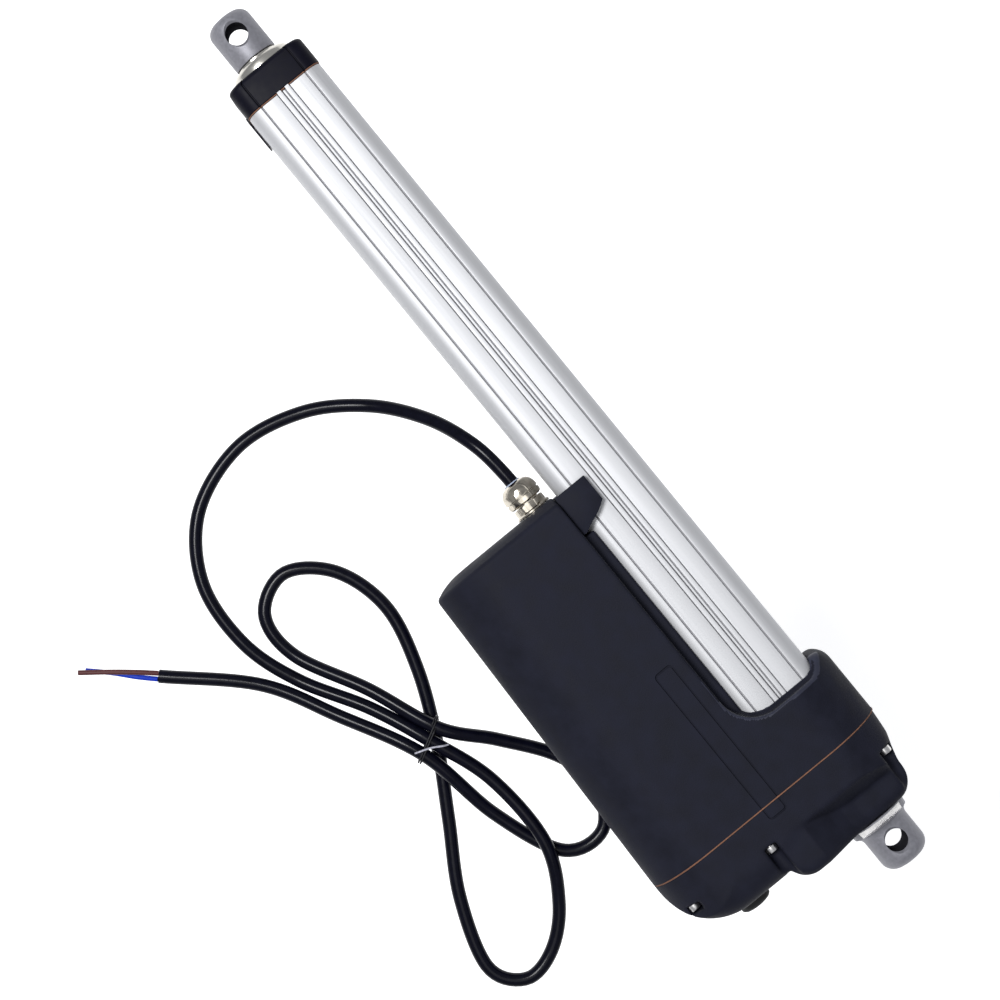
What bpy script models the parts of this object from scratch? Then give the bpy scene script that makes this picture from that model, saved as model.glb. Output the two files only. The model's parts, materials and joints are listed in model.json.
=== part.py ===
"""Parallel-motor linear actuator, modelled as an assembly of separate pieces.

The stroke axis runs along X with the rod eye at +X. The motor lies beside the
tube, towards +Y. The machine rests on Z = 0, and its origin is the middle of
its underside. Sizes below are in millimetres; mesh_piece() makes them metres.
"""

import math

import bmesh
import bpy
from mathutils import Matrix, Vector

MM = 0.001

# Driving dimensions
LENGTH = 610.4              # end to end, rod fully in
HEIGHT = 75.0               # motor housing, table to top
TUBE_WIDTH = 50.0           # square outer tube
COLLAR_RADIUS = 37.0        # housing round the tube, on the side away from the motor
AXIS_SPACING = 82.5         # screw axis to motor axis
MOTOR_SIDE_REAR = 39.0      # motor axis to the housing's outer side, at the seam
MOTOR_SIDE_FRONT = 32.0     # the same at the front: the side tapers
GAP = 0.3                   # clearance between touching pieces

# Frame
HALF_H = HEIGHT / 2
HALF_LENGTH = LENGTH / 2
WIDTH = COLLAR_RADIUS + AXIS_SPACING + MOTOR_SIDE_REAR
TUBE_Y = COLLAR_RADIUS - WIDTH / 2

# Stations along X
SEAM_X = -225.0             # housing's rear face, where the rear cover starts
HOUSING_FRONT_X = -19.9
TUBE_REAR_X = -206.1
TUBE_FRONT_X = 249.2
CAP_FRONT_X = 268.2
COVER_SLOPE_X = -246.0      # where the cover's top starts to fall away behind the tube
COVER_SLOPE = 0.65          # the slope's run for each unit of fall
COVER_REAR_X = -264.6       # rear wall at the motor
MOTOR_END_ROUND = 36.0      # the cover's corner from above, at the motor
TONGUE_X = -178.3           # the collar's front at mid height
FRONT_RIM = 11.5            # width of the sloping rim round the housing's front face
FRONT_RIM_DEPTH = 4.6
CLIP_X = (-47.3, -21.3)
BOSS_REAR_X = -273.0        # face that carries the rear eye

# Gears: motor pinion to idler wheel, idler pinion to screw gear
GEAR_MODULE = 1.25
PINION_TEETH = 16
WHEEL_TEETH = 44
IDLER_PINION_TEETH = 30
SCREW_GEAR_TEETH = 42
PRESSURE_ANGLE = math.radians(20)
ADDENDUM = 0.9              # in modules
DEDENDUM = 1.25
BACKLASH = 0.35
IDLER_Y = GEAR_MODULE * (IDLER_PINION_TEETH + SCREW_GEAR_TEETH) / 2
WHEEL_X = (-233.2, -227.0)
SCREW_GEAR_X = (-242.6, -234.6)

# Screw, nut and rod
SCREW_RADIUS = 8.0
JOURNAL_RADIUS = 5.7
SCREW_SHOULDER_X = -208.4
SCREW_FRONT_X = 192.0
ROD_RADIUS = 12.5
ROD_BORE = 9.0
TUBE_BORE = 18.5
EYE_HOLE_RADIUS = 6.5
ROD_EYE_RADIUS = 13.4
REAR_EYE_RADIUS = 14.6
ROD_EYE_BACK_X = 276.2
ROD_HOLE_X = 292.1
REAR_HOLE_X = -289.8

# Motor
MOTOR_RADIUS = 28.5
MOTOR_SHAFT_RADIUS = 3.0
MOTOR_X = (-206.0, -83.5)
BRUSH_CAP_X = (-83.2, -68.0)

# Cable and gland
GLAND_Y = 40.0
CABLE_RADIUS = 4.0
CORE_RADIUS = 1.5
TIE_BAND = (4.0, 1.2)       # width and thickness of the tie round the cable's bundle
TIE_INSIDE = (14.2, 5.0)    # half width and half height of the space it holds

# The cable's route in metres: out of the gland, round the big loop to the tie, round the
# lower loop and back under the bundle, round the small loop to the tie, under the housing's
# side and through the tie a third time to its bare end.
CABLE_ROUTE = (
    (-0.0235, -0.0023, 0.0375),
    (0.0080, -0.0023, 0.0375),
    (0.0330, 0.0012, 0.0347),
    (0.0600, 0.0120, 0.0210),
    (0.0870, 0.0330, 0.0075),
    (0.1085, 0.0650, 0.0041),
    (0.1165, 0.1060, 0.0041),
    (0.1020, 0.1470, 0.0041),
    (0.0690, 0.1715, 0.0041),
    (0.0280, 0.1755, 0.0041),
    (-0.0090, 0.1645, 0.0041),
    (-0.0480, 0.1420, 0.0095),
    (-0.0845, 0.1266, 0.0147),
    (-0.1240, 0.1138, 0.0115),
    (-0.1700, 0.1128, 0.0130),
    (-0.2030, 0.1290, 0.0065),
    (-0.2220, 0.1500, 0.0041),
    (-0.2255, 0.1715, 0.0041),
    (-0.2060, 0.1845, 0.0041),
    (-0.1650, 0.1715, 0.0041),
    (-0.1260, 0.1480, 0.0041),
    (-0.0870, 0.1250, 0.0041),
    (-0.0480, 0.1072, 0.0041),
    (-0.0090, 0.0985, 0.0041),
    (0.0250, 0.1080, 0.0041),
    (0.0435, 0.1320, 0.0041),
    (0.0320, 0.1555, 0.0041),
    (0.0030, 0.1570, 0.0041),
    (-0.0390, 0.1360, 0.0090),
    (-0.0813, 0.1185, 0.0152),
    (-0.1080, 0.0970, 0.0085),
    (-0.1370, 0.0765, 0.0041),
    (-0.1640, 0.0695, 0.0041),
    (-0.1870, 0.0835, 0.0041),
    (-0.1815, 0.1085, 0.0041),
    (-0.1400, 0.1255, 0.0070),
    (-0.0877, 0.1348, 0.0152),
    (-0.0400, 0.1590, 0.0075),
    (0.0020, 0.1825, 0.0041),
    (0.0431, 0.2249, 0.0041),
)
TIE_PLACE = (-0.0845, 0.1266, 0.0148)
TIE_TURN = math.radians(21.7)   # the bundle's direction where the tie holds it

# The bare cores beyond the sheath, in metres
BROWN_ROUTE = (
    (0.0446, 0.2240, 0.0041),
    (0.0527, 0.2329, 0.0053),
    (0.0628, 0.2450, 0.0056),
    (0.0741, 0.2596, 0.0044),
)
BLUE_ROUTE = (
    (0.0422, 0.2264, 0.0041),
    (0.0509, 0.2353, 0.0017),
    (0.0616, 0.2448, 0.0017),
    (0.0725, 0.2559, 0.0017),
)

# Screws that hold the gear cover: (y, z) from the tube axis, above and below it
COVER_SCREWS = ((-26.2, 19.2), (57.0, 33.0), (110.4, 18.9))
COVER_SCREW_SEAT_X = -243.9
CAP_SCREW_OFFSET = 18.7     # each corner channel of the tube, from the axis along Y and Z

ROUND = 32                  # sides of a full turn on large round pieces
INNER_ROUND = 20            # the same on pieces that the covers hide
SMALL_ROUND = 12            # the same on shafts and small holes

FINISHES = {                # colour, roughness, metallic
    "black_paint": ((0.022, 0.024, 0.032), 0.55, 0.0),
    "black_plastic": ((0.012, 0.012, 0.016), 0.5, 0.0),
    "black_rubber": ((0.015, 0.015, 0.016), 0.85, 0.0),
    "anodised": ((0.82, 0.83, 0.85), 0.35, 0.9),
    "grey_steel": ((0.22, 0.22, 0.25), 0.42, 0.85),
    "polished_steel": ((0.75, 0.74, 0.72), 0.15, 1.0),
    "screw_steel": ((0.6, 0.6, 0.6), 0.25, 1.0),
    "nickel": ((0.72, 0.68, 0.6), 0.18, 1.0),
    "cast_alloy": ((0.5, 0.5, 0.52), 0.5, 0.9),
    "bronze": ((0.55, 0.36, 0.16), 0.35, 1.0),
    "gasket": ((0.42, 0.2, 0.1), 0.8, 0.0),
    "white_nylon": ((0.75, 0.74, 0.68), 0.5, 0.0),
    "seal_blue": ((0.35, 0.4, 0.5), 0.5, 0.0),
    "magnet": ((0.06, 0.06, 0.06), 0.5, 0.3),
    "board_green": ((0.02, 0.12, 0.05), 0.5, 0.0),
    "cable_black": ((0.01, 0.01, 0.013), 0.25, 0.0),
    "core_brown": ((0.12, 0.04, 0.035), 0.4, 0.0),
    "core_blue": ((0.01, 0.06, 0.4), 0.4, 0.0),
}


# ---------------------------------------------------------------- basic tools

def clear_scene():
    for obj in list(bpy.data.objects):
        bpy.data.objects.remove(obj, do_unlink=True)


def axis_empty(name, y):
    """An empty on a shaft's axis, which the pieces round that shaft are parented to."""
    empty = bpy.data.objects.new(name, None)
    empty.location = (0.0, (TUBE_Y + y) * MM, HALF_H * MM)
    bpy.context.scene.collection.objects.link(empty)
    return empty


def finish_material(name, finish):
    colour, roughness, metallic = FINISHES[finish]
    material = bpy.data.materials.new(name)
    material.use_nodes = True
    shader = material.node_tree.nodes["Principled BSDF"]
    shader.inputs["Base Color"].default_value = (*colour, 1.0)
    shader.inputs["Roughness"].default_value = roughness
    shader.inputs["Metallic"].default_value = metallic
    material.diffuse_color = (*colour, 1.0)
    return material


def mesh_piece(name, bm, parent, finish=None):
    """Make an object from a bmesh in millimetres. With no finish it is a cutter."""
    bmesh.ops.recalc_face_normals(bm, faces=bm.faces)
    bm.transform(Matrix.Scale(MM, 4))
    mesh = bpy.data.meshes.new(name)
    bm.to_mesh(mesh)
    bm.free()
    obj = bpy.data.objects.new(name, mesh)
    obj.parent = parent
    bpy.context.scene.collection.objects.link(obj)
    if finish:
        mesh.materials.append(finish_material(name, finish))
        mesh.shade_smooth()
        mesh.set_sharp_from_angle(angle=math.radians(30))
    else:
        obj.hide_render = True
        obj.display_type = "WIRE"
    return obj


def boolean(obj, tool, operation="DIFFERENCE"):
    modifier = obj.modifiers.new(tool.name, "BOOLEAN")
    modifier.operation = operation
    modifier.object = tool


def loft(rings, close_ends=True):
    """Join outlines of equal point count with quads; the last joins the first if not capped."""
    bm = bmesh.new()
    layers = [[bm.verts.new(point) for point in ring] for ring in rings]
    pairs = list(zip(layers, layers[1:]))
    if not close_ends:
        pairs.append((layers[-1], layers[0]))
    for lower, upper in pairs:
        for i in range(len(lower)):
            j = (i + 1) % len(lower)
            bm.faces.new((lower[i], lower[j], upper[j], upper[i]))
    if close_ends:
        bm.faces.new(layers[0])
        bm.faces.new(layers[-1])
    return bm


def prism_x(outline, x_low, x_high):
    """An outline of (y, z) points, drawn out along X."""
    return loft([[(x, y, z) for y, z in outline] for x in (x_low, x_high)])


def prism_y(outline, y_low, y_high):
    """An outline of (x, z) points, drawn out along Y."""
    return loft([[(x, y, z) for x, z in outline] for y in (y_low, y_high)])


def prism_z(outline, z_low, z_high):
    """An outline of (x, y) points, drawn out along Z."""
    return loft([[(x, y, z) for x, y in outline] for z in (z_low, z_high)])


def box(x, y, z):
    """A box between the two values given for each axis."""
    outline = [(y[0], z[0]), (y[1], z[0]), (y[1], z[1]), (y[0], z[1])]
    return prism_x(outline, x[0], x[1])


def arc(centre, radius, start, end, steps):
    """Points on a circular arc, angles in degrees."""
    angles = [math.radians(start + (end - start) * i / steps) for i in range(steps + 1)]
    return [(centre[0] + radius * math.cos(a), centre[1] + radius * math.sin(a)) for a in angles]


def circle(radius, sides, centre=(0.0, 0.0)):
    return arc(centre, radius, 0.0, 360.0 * (sides - 1) / sides, sides - 1)


def ring_at(x, radius, sides):
    return [(x, y, z) for y, z in circle(radius, sides)]


def turned(profile, sides=ROUND):
    """A solid of revolution about X, from (x, radius) pairs between its flat ends."""
    return loft([ring_at(x, radius, sides) for x, radius in profile])


def turned_ring(profile, sides=ROUND):
    """A ring about X, from the closed outline of its section in (x, radius) pairs."""
    return loft([ring_at(x, radius, sides) for x, radius in profile], close_ends=False)


def sleeve(x, bore, radius, sides=ROUND, chamfer=0.0):
    """A plain tube about X between two stations, with its outer edges chamfered."""
    low, high = x
    if not chamfer:
        return turned_ring([(low, bore), (low, radius), (high, radius), (high, bore)], sides)
    profile = [(low, bore), (low, radius - chamfer), (low + chamfer, radius)]
    profile += [(high - chamfer, radius), (high, radius - chamfer), (high, bore)]
    return turned_ring(profile, sides)


def moved(bm, y=0.0, z=0.0, x=0.0):
    bm.transform(Matrix.Translation(Vector((x, y, z))))
    return bm


def hexagon(across_flats):
    radius = across_flats / math.sqrt(3)
    return circle(radius, 6)


def bore_x(obj, name, profile, y=0.0, z=0.0, sides=SMALL_ROUND):
    """Cut a stepped bore, given as (x, radius) pairs, at (y, z) in obj's own frame."""
    boolean(obj, mesh_piece(name, moved(turned(profile, sides), y=y, z=z), obj.parent))


def drill_x(obj, name, radius, x, y=0.0, z=0.0, sides=SMALL_ROUND):
    """Drill a plain hole along X between the two stations of x."""
    bore_x(obj, name, [(x[0], radius), (x[1], radius)], y, z, sides)


# ------------------------------------------------------------ outer tube, cap

def tube_outline(grow=0.0, slots=True):
    """The extrusion's section: four rounded corner lobes between shallow grooves.

    The top and bottom also carry a centre slot between two ribs.
    """
    half = TUBE_WIDTH / 2 + grow
    lobe_radius = 9.0
    lobe = half - lobe_radius
    groove = (lobe - 1.4, lobe)
    groove_depth = 1.3
    quarter = []
    if slots:
        slot, rib, rib_gap = 1.35, 4.1, 0.5
        quarter += [(0.0, half - 2.4), (slot, half - 2.4), (slot, half), (rib, half)]
        quarter += [(rib, half - 1.1), (rib + rib_gap, half - 1.1), (rib + rib_gap, half)]
    else:
        quarter += [(0.0, half)]
    quarter += [(groove[0], half), (groove[0], half - groove_depth)]
    quarter += [(groove[1], half - groove_depth)]
    quarter += arc((lobe, lobe), lobe_radius, 90, 0, 6)
    quarter += [(half - groove_depth, groove[1]), (half - groove_depth, groove[0])]
    quarter += [(half, groove[0])]
    right = quarter + [(y, -z) for y, z in reversed(quarter)]
    left = [(-y, z) for y, z in reversed(right)][1:-1]
    return right + left


def rib_tips(name, parent, spare):
    """Tools round the tips of the two top and two bottom ribs, where they enter the cap."""
    tools = []
    for side in (-1, 1):
        for face in (-1, 1):
            y = sorted((side * (1.5 - spare), side * (3.95 + spare)))
            z = sorted((face * (23.9 - spare), face * (24.9 + spare)))
            x = (TUBE_FRONT_X - 4.0 - spare, TUBE_FRONT_X + 2.6 + spare)
            tools.append(mesh_piece(f"{name}_{len(tools)}", box(x, y, z), parent))
    return tools


def outer_tube(axis):
    tube = mesh_piece("outer_tube", prism_x(tube_outline(), TUBE_REAR_X, TUBE_FRONT_X),
                      axis, "anodised")
    for tip in rib_tips("rib_tip", axis, 0.0):
        boolean(tube, tip, "UNION")
    ends = (TUBE_REAR_X - 1, TUBE_FRONT_X + 1)
    drill_x(tube, "tube_bore", TUBE_BORE, ends, sides=ROUND)
    key_grooves = box(ends, (-20.8, 20.8), (-2.8, 2.8))
    key_grooves.transform(Matrix.Rotation(math.radians(45), 4, "X"))
    boolean(tube, mesh_piece("tube_key_grooves", key_grooves, axis))
    sensor_channel = box(ends, (10.0, 22.3), (-6.0, 6.0))
    boolean(tube, mesh_piece("tube_sensor_channel", sensor_channel, axis))
    for i, (y, z) in enumerate(corner_channels()):
        drill_x(tube, f"tube_channel_{i}", 2.4, ends, y, z)
    return tube


def corner_channels():
    return [(y * CAP_SCREW_OFFSET, z * CAP_SCREW_OFFSET) for y in (-1, 1) for z in (-1, 1)]


def front_cap(axis):
    x = (TUBE_FRONT_X + 0.9, CAP_FRONT_X)
    cap = mesh_piece("front_cap", prism_x(tube_outline(0.5, slots=False), *x), axis,
                     "black_plastic")
    seat_x = 261.7
    bore = ROD_RADIUS + 0.4
    stepped = [(x[0] - 1, bore), (seat_x, bore), (seat_x, 16.3), (x[1] + 1, 16.3)]
    bore_x(cap, "cap_bore", stepped, sides=ROUND)
    for tip in rib_tips("cap_notch", axis, GAP):
        boolean(cap, tip)
    for i, (y, z) in enumerate(corner_channels()):
        seat_x = x[1] - 4.6
        stepped = [(x[0] - 1, 2.4), (seat_x, 2.4), (seat_x, 3.8), (x[1] + 1, 3.8)]
        bore_x(cap, f"cap_screw_hole_{i}", stepped, y, z)


def cap_gasket(axis):
    x = (TUBE_FRONT_X + 0.2, TUBE_FRONT_X + 0.7)
    gasket = mesh_piece("cap_gasket", prism_x(tube_outline(0.0, slots=False), *x), axis, "gasket")
    drill_x(gasket, "gasket_bore", TUBE_BORE + 3.4, (x[0] - 1, x[1] + 1), sides=ROUND)
    for tip in rib_tips("gasket_notch", axis, GAP):
        boolean(gasket, tip)
    for i, (y, z) in enumerate(corner_channels()):
        drill_x(gasket, f"gasket_hole_{i}", 2.4, (x[0] - 1, x[1] + 1), y, z)


def cap_fittings(axis):
    ring_x = (CAP_FRONT_X + GAP, CAP_FRONT_X + 5.6)
    mesh_piece("cap_ring", sleeve(ring_x, ROD_RADIUS + 0.4, 19.0, chamfer=1.4), axis,
               "polished_steel")
    mesh_piece("wiper_seal", sleeve((262.0, 267.9), ROD_RADIUS + GAP, 16.0, ROUND), axis,
               "black_rubber")
    bush = sleeve((222.0, 248.9), ROD_RADIUS + GAP, TUBE_BORE - GAP, INNER_ROUND)
    mesh_piece("guide_bush", bush, axis, "bronze")
    strip = box((TUBE_FRONT_X - 17.5, TUBE_FRONT_X - 0.5), (25.3, 26.3), (-6.5, 6.5))
    mesh_piece("slot_end_strip", strip, axis, "black_plastic")
    for i, (y, z) in enumerate(corner_channels()):
        head_x = (CAP_FRONT_X - 4.3, CAP_FRONT_X - 0.3)
        profile = [(225.0, 2.0), (head_x[0], 2.0), (head_x[0], 3.4), (head_x[1], 3.4)]
        mesh_piece(f"cap_screw_{i + 1}", moved(turned(profile, SMALL_ROUND), y=y, z=z), axis,
                   "screw_steel")


# ------------------------------------------------------ die-cast housing, cover

def motor_round_y(x):
    """Centre of the housing's round motor side, which tapers in towards the front."""
    rear = AXIS_SPACING + MOTOR_SIDE_REAR - HALF_H
    front = AXIS_SPACING + MOTOR_SIDE_FRONT - HALF_H
    part = (x - SEAM_X) / (HOUSING_FRONT_X - SEAM_X)
    return rear + (front - rear) * max(part, 0.0)


def body_section(x, inset=0.0):
    """The cast body's section at x: flat top and bottom, both sides round."""
    steps = 16
    motor_side = arc((motor_round_y(x), 0.0), HALF_H - inset, -90, 90, steps)
    tube_side = []
    for i in range(steps + 1):
        angle = math.radians(90 + 180 * i / steps)
        tube_side.append(((COLLAR_RADIUS - inset) * math.cos(angle),
                          (HALF_H - inset) * math.sin(angle)))
    return [(x, y, z) for y, z in motor_side + tube_side]


def mouth_cutter():
    """The space in front of the collar, where the tube runs clear beside the motor.

    Its rear edge has a tongue at mid height, and is set back above and below it.
    """
    wall_y, corner, set_back = 27.8, 18.0, 10.0
    tongue_z, set_back_z = 16.0, 33.0
    rings = []
    for level in range(-8, 9):
        z = HALF_H * level / 7      # just beyond the top and the bottom at both ends
        share = min(max((abs(z) - tongue_z) / (set_back_z - tongue_z), 0.0), 1.0)
        edge_x = TONGUE_X - set_back * share * share * (3 - 2 * share)
        ring = [(30.0, wall_y)]
        ring += arc((edge_x + corner, wall_y - corner), corner, 90, 180, 6)
        ring += [(edge_x, -60.0), (30.0, -60.0)]
        rings.append([(x, y, z) for x, y in ring])
    return loft(rings)


def housing_plan():
    """Outline from above that rounds the collar's tongue and the housing's front corner."""
    front_corner, tongue_corner = 4.0, 11.0
    side_y = COLLAR_RADIUS + 0.4
    outer_y = AXIS_SPACING + MOTOR_SIDE_FRONT + 0.7
    rear_y = AXIS_SPACING + MOTOR_SIDE_REAR + 0.5
    outline = [(SEAM_X - 5, -side_y)]
    outline += arc((TONGUE_X - tongue_corner, tongue_corner - side_y), tongue_corner, -90, 0, 8)
    outline += [(TONGUE_X, 0.0), (HOUSING_FRONT_X, 0.0)]
    outline += arc((HOUSING_FRONT_X - front_corner, outer_y - front_corner), front_corner,
                   0, 90, 8)
    outline += [(SEAM_X - 5, rear_y)]
    return outline


def cut_screw_holes(body, x, radius):
    for i, (y, z) in enumerate(cover_screw_places()):
        drill_x(body, f"{body.name}_screw_hole_{i}", radius, x, y, z)


def cover_screw_places():
    return [(y, side * z) for y, z in COVER_SCREWS for side in (1, -1)]


def motor_housing(axis):
    rings = [body_section(SEAM_X), body_section(HOUSING_FRONT_X - FRONT_RIM_DEPTH)]
    rings.append([(HOUSING_FRONT_X, y, z)
                  for _, y, z in body_section(HOUSING_FRONT_X - FRONT_RIM_DEPTH, FRONT_RIM)])
    housing = mesh_piece("motor_housing", loft(rings), axis, "black_paint")
    plan = mesh_piece("housing_plan", prism_z(housing_plan(), -60, 60), axis)
    boolean(housing, plan, "INTERSECT")
    boolean(housing, mesh_piece("housing_mouth", mouth_cutter(), axis))
    half = TUBE_WIDTH / 2 + GAP
    cheek = box((-186.0, CLIP_X[0] - 1.0), (21.6, 30.0), (-half - 0.8, half + 0.8))
    boolean(housing, mesh_piece("housing_cheek", cheek, axis), "UNION")
    socket = arc((half - 8.6, half - 8.6), 8.6, 0, 90, 6)
    socket += [(-y, z) for y, z in reversed(socket)]
    socket += [(y, -z) for y, z in reversed(socket)]
    boolean(housing, mesh_piece("housing_tube_socket", prism_x(socket, -207, CLIP_X[0]), axis))
    chamber = [(y, z) for _, y, z in body_section(SEAM_X, 8.0)]
    boolean(housing, mesh_piece("housing_plate_seat",
                                prism_x(chamber, SEAM_X - 1, TUBE_REAR_X - 0.1), axis))
    drill_x(housing, "housing_motor_bore", MOTOR_RADIUS + 0.8, (-207.0, -24.0),
            AXIS_SPACING, sides=ROUND)
    wiring = box((-110.0, -24.0), (32.0, 62.0), (-17.0, 17.0))
    boolean(housing, mesh_piece("housing_wiring_space", wiring, axis))
    drill_x(housing, "housing_gland_hole", 8.0, (-26.0, -15.0), GLAND_Y)
    cut_screw_holes(housing, (SEAM_X - 2, -212.0), 2.3)


def tube_clip(axis):
    """A clip between housing and tube, with a tab over the tube above and below."""
    web = (25.3, 27.5)
    inner_z, outer_z, reach_y = 25.3, 31.5, 6.9
    section = [(web[0], -inner_z), (web[0], inner_z), (reach_y, inner_z), (reach_y, outer_z)]
    section += [(web[1], outer_z), (web[1], -outer_z), (reach_y, -outer_z)]
    section += [(reach_y, -inner_z)]
    clip = mesh_piece("tube_clip", prism_x(section, *CLIP_X), axis, "black_paint")
    plan = [(-20.0, 30.0), (-20.0, 5.0), (-37.9, 5.0), (-37.9, reach_y)]
    plan += [(-41.4, 12.0), (-43.6, 17.5), (-46.0, 22.0), (-49.0, 25.0), (-49.0, 30.0)]
    boolean(clip, mesh_piece("clip_plan", prism_z(plan, -40, 40), axis), "INTERSECT")


def cover_plan():
    """The gear cover from above, with its large round corner at the motor."""
    outer_y = AXIS_SPACING + MOTOR_SIDE_REAR + 0.2
    outline = [(SEAM_X + 5, -COLLAR_RADIUS - 0.6), (-240.0, -36.0), (-247.0, -33.2)]
    outline += [(-256.0, -29.6), (COVER_REAR_X, -22.0), (COVER_REAR_X, 66.0)]
    centre = (COVER_REAR_X + MOTOR_END_ROUND, outer_y - MOTOR_END_ROUND)
    outline += arc(centre, MOTOR_END_ROUND, 180, 90, 12)
    outline += [(SEAM_X + 5, outer_y)]
    return outline


def cover_slope(side):
    """What the slope behind the tube takes away, above or below, up to the motor end."""
    rings = []
    for y, shift in ((-60.0, 0.0), (33.0, 0.0), (47.0, 22.0)):
        top_x = COVER_SLOPE_X - shift + COVER_SLOPE
        mid_x = COVER_SLOPE_X - shift - COVER_SLOPE * HALF_H
        rings.append([(top_x, y, side * (HALF_H + 1.0)), (mid_x, y, 0.0), (-310.0, y, 0.0),
                      (-310.0, y, side * (HALF_H + 1.0))])
    return loft(rings)


def rear_round(x_flat, x_rear, radius, half_height):
    """Side outline, in (x, z), of a block whose rear edges are rounded."""
    upper = arc((x_rear + radius, half_height - radius), radius, 90, 180, 8)
    outline = [(x_flat, half_height)] + upper
    outline += [(x, -z) for x, z in reversed(outline)]
    return outline


def boss_plan():
    """The lower block round the rear eye's foot, from above."""
    side_corner, motor_corner = 13.0, 12.0
    outline = [(-238.0, -26.5), (-252.0, -29.0)]
    outline += arc((BOSS_REAR_X + side_corner, -16.0), side_corner, -90, -180, 6)
    outline += arc((BOSS_REAR_X + motor_corner, 43.0), motor_corner, 180, 100, 5)
    outline += [(-238.0, 58.0)]
    return outline


def boss_block():
    """The boss's height, which climbs towards the motor and is rounded at the rear."""
    top = [(-31.0, 21.5), (6.0, 22.8), (14.0, 24.6), (21.0, 28.0), (29.0, 33.0), (36.0, 36.8),
           (60.0, 37.2)]
    rings = []
    for x, drop in ((-238.0, 0.0), (BOSS_REAR_X + 8.0, 0.0), (BOSS_REAR_X + 3.8, 1.0),
                    (BOSS_REAR_X + 1.2, 3.6), (BOSS_REAR_X, 7.5)):
        outline = [(y, z - drop) for y, z in top]
        outline += [(y, -z) for y, z in reversed(outline)]
        rings.append([(x, y, z) for y, z in outline])
    return loft(rings)


def pocket_cutter(y, z, opening):
    """A round-ended slot along X from a screw's seat to the rear, open to one side."""
    radius = 3.9
    angle = math.degrees(math.atan2(opening[1], opening[0]))
    reach = 14.0
    far = (y + reach * math.cos(math.radians(angle)), z + reach * math.sin(math.radians(angle)))
    outline = arc((y, z), radius, angle + 90, angle + 270, 8)
    outline += arc(far, radius, angle - 90, angle + 90, 4)
    return prism_x(outline, -285.0, COVER_SCREW_SEAT_X)


def rear_cover(axis):
    front = SEAM_X - 1.0
    block = [body_section(front), body_section(COVER_REAR_X - 1)]
    cover = mesh_piece("rear_cover", loft(block), axis, "black_paint")
    plan = mesh_piece("cover_plan", prism_z(cover_plan(), -60, 60), axis)
    boolean(cover, plan, "INTERSECT")
    side = rear_round(SEAM_X + 5, COVER_REAR_X - 0.1, 19.0, HALF_H + 0.5)
    boolean(cover, mesh_piece("cover_side", prism_y(side, -60, 140), axis), "INTERSECT")
    for name, sign in (("top", 1), ("bottom", -1)):
        boolean(cover, mesh_piece(f"cover_slope_{name}", cover_slope(sign), axis))
    boss = mesh_piece("cover_boss", prism_z(boss_plan(), -60, 60), axis)
    boolean(boss, mesh_piece("boss_block", boss_block(), axis), "INTERSECT")
    boolean(cover, boss, "UNION")
    tip = GEAR_MODULE * ADDENDUM + 0.8
    gears = ((0.0, SCREW_GEAR_TEETH), (IDLER_Y, WHEEL_TEETH), (AXIS_SPACING, PINION_TEETH))
    for i, (y, teeth) in enumerate(gears):
        drill_x(cover, f"cover_gear_space_{i}", GEAR_MODULE * teeth / 2 + tip,
                (-243.3, front + 1), y, sides=ROUND)
    drill_x(cover, "cover_nut_space", 13.2, (-266.0, -240.0), sides=INNER_ROUND)
    drill_x(cover, "cover_shank_hole", 9.3, (-280.0, -260.0), sides=ROUND)
    drill_x(cover, "cover_axle_hole", 4.3, (-249.5, -240.0), IDLER_Y)
    drill_x(cover, "cover_plug_hole", 6.5, (-280.0, -240.0), AXIS_SPACING)
    cut_screw_holes(cover, (-245.0, front + 1), 2.3)
    for i, (y, z) in enumerate(COVER_SCREWS):
        opening = (y - motor_round_y(SEAM_X), z) if y > AXIS_SPACING else (0.0, 1.0)
        if y < 0:
            opening = (y, z)
        for side_name, sign in (("top", 1), ("bottom", -1)):
            cutter = pocket_cutter(y, z * sign, (opening[0], opening[1] * sign))
            boolean(cover, mesh_piece(f"cover_pocket_{side_name}_{i}", cutter, axis))


def cover_fittings(axis, motor_axis):
    outer = body_section(SEAM_X, 0.4)
    inner = body_section(SEAM_X, 1.8)
    gasket_x = (SEAM_X - 0.75, SEAM_X - 0.25)
    rings = [[(x, y, z) for _, y, z in outline]
             for x, outline in ((gasket_x[0], inner), (gasket_x[0], outer),
                                (gasket_x[1], outer), (gasket_x[1], inner))]
    mesh_piece("cover_gasket", loft(rings, close_ends=False), axis, "gasket")
    for i, (y, z) in enumerate(cover_screw_places()):
        head_x = (COVER_SCREW_SEAT_X - 3.9, COVER_SCREW_SEAT_X - 0.2)
        profile = [(head_x[0], 2.7), (head_x[0] + 0.8, 3.5), (head_x[1], 3.5)]
        profile += [(head_x[1], 2.0), (-212.6, 2.0)]
        mesh_piece(f"cover_screw_{i + 1}", moved(turned(profile, SMALL_ROUND), y=y, z=z), axis,
                   "screw_steel")
    plug = [(COVER_REAR_X - 6.3, 7.6), (COVER_REAR_X - 5.3, 9.6)]
    plug += [(COVER_REAR_X - 0.4, 9.6), (COVER_REAR_X - 0.4, 6.0), (-255.0, 5.6)]
    mesh_piece("drive_plug", turned(plug, INNER_ROUND), motor_axis, "black_rubber")


# ------------------------------------------------------------------ eyes

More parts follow.
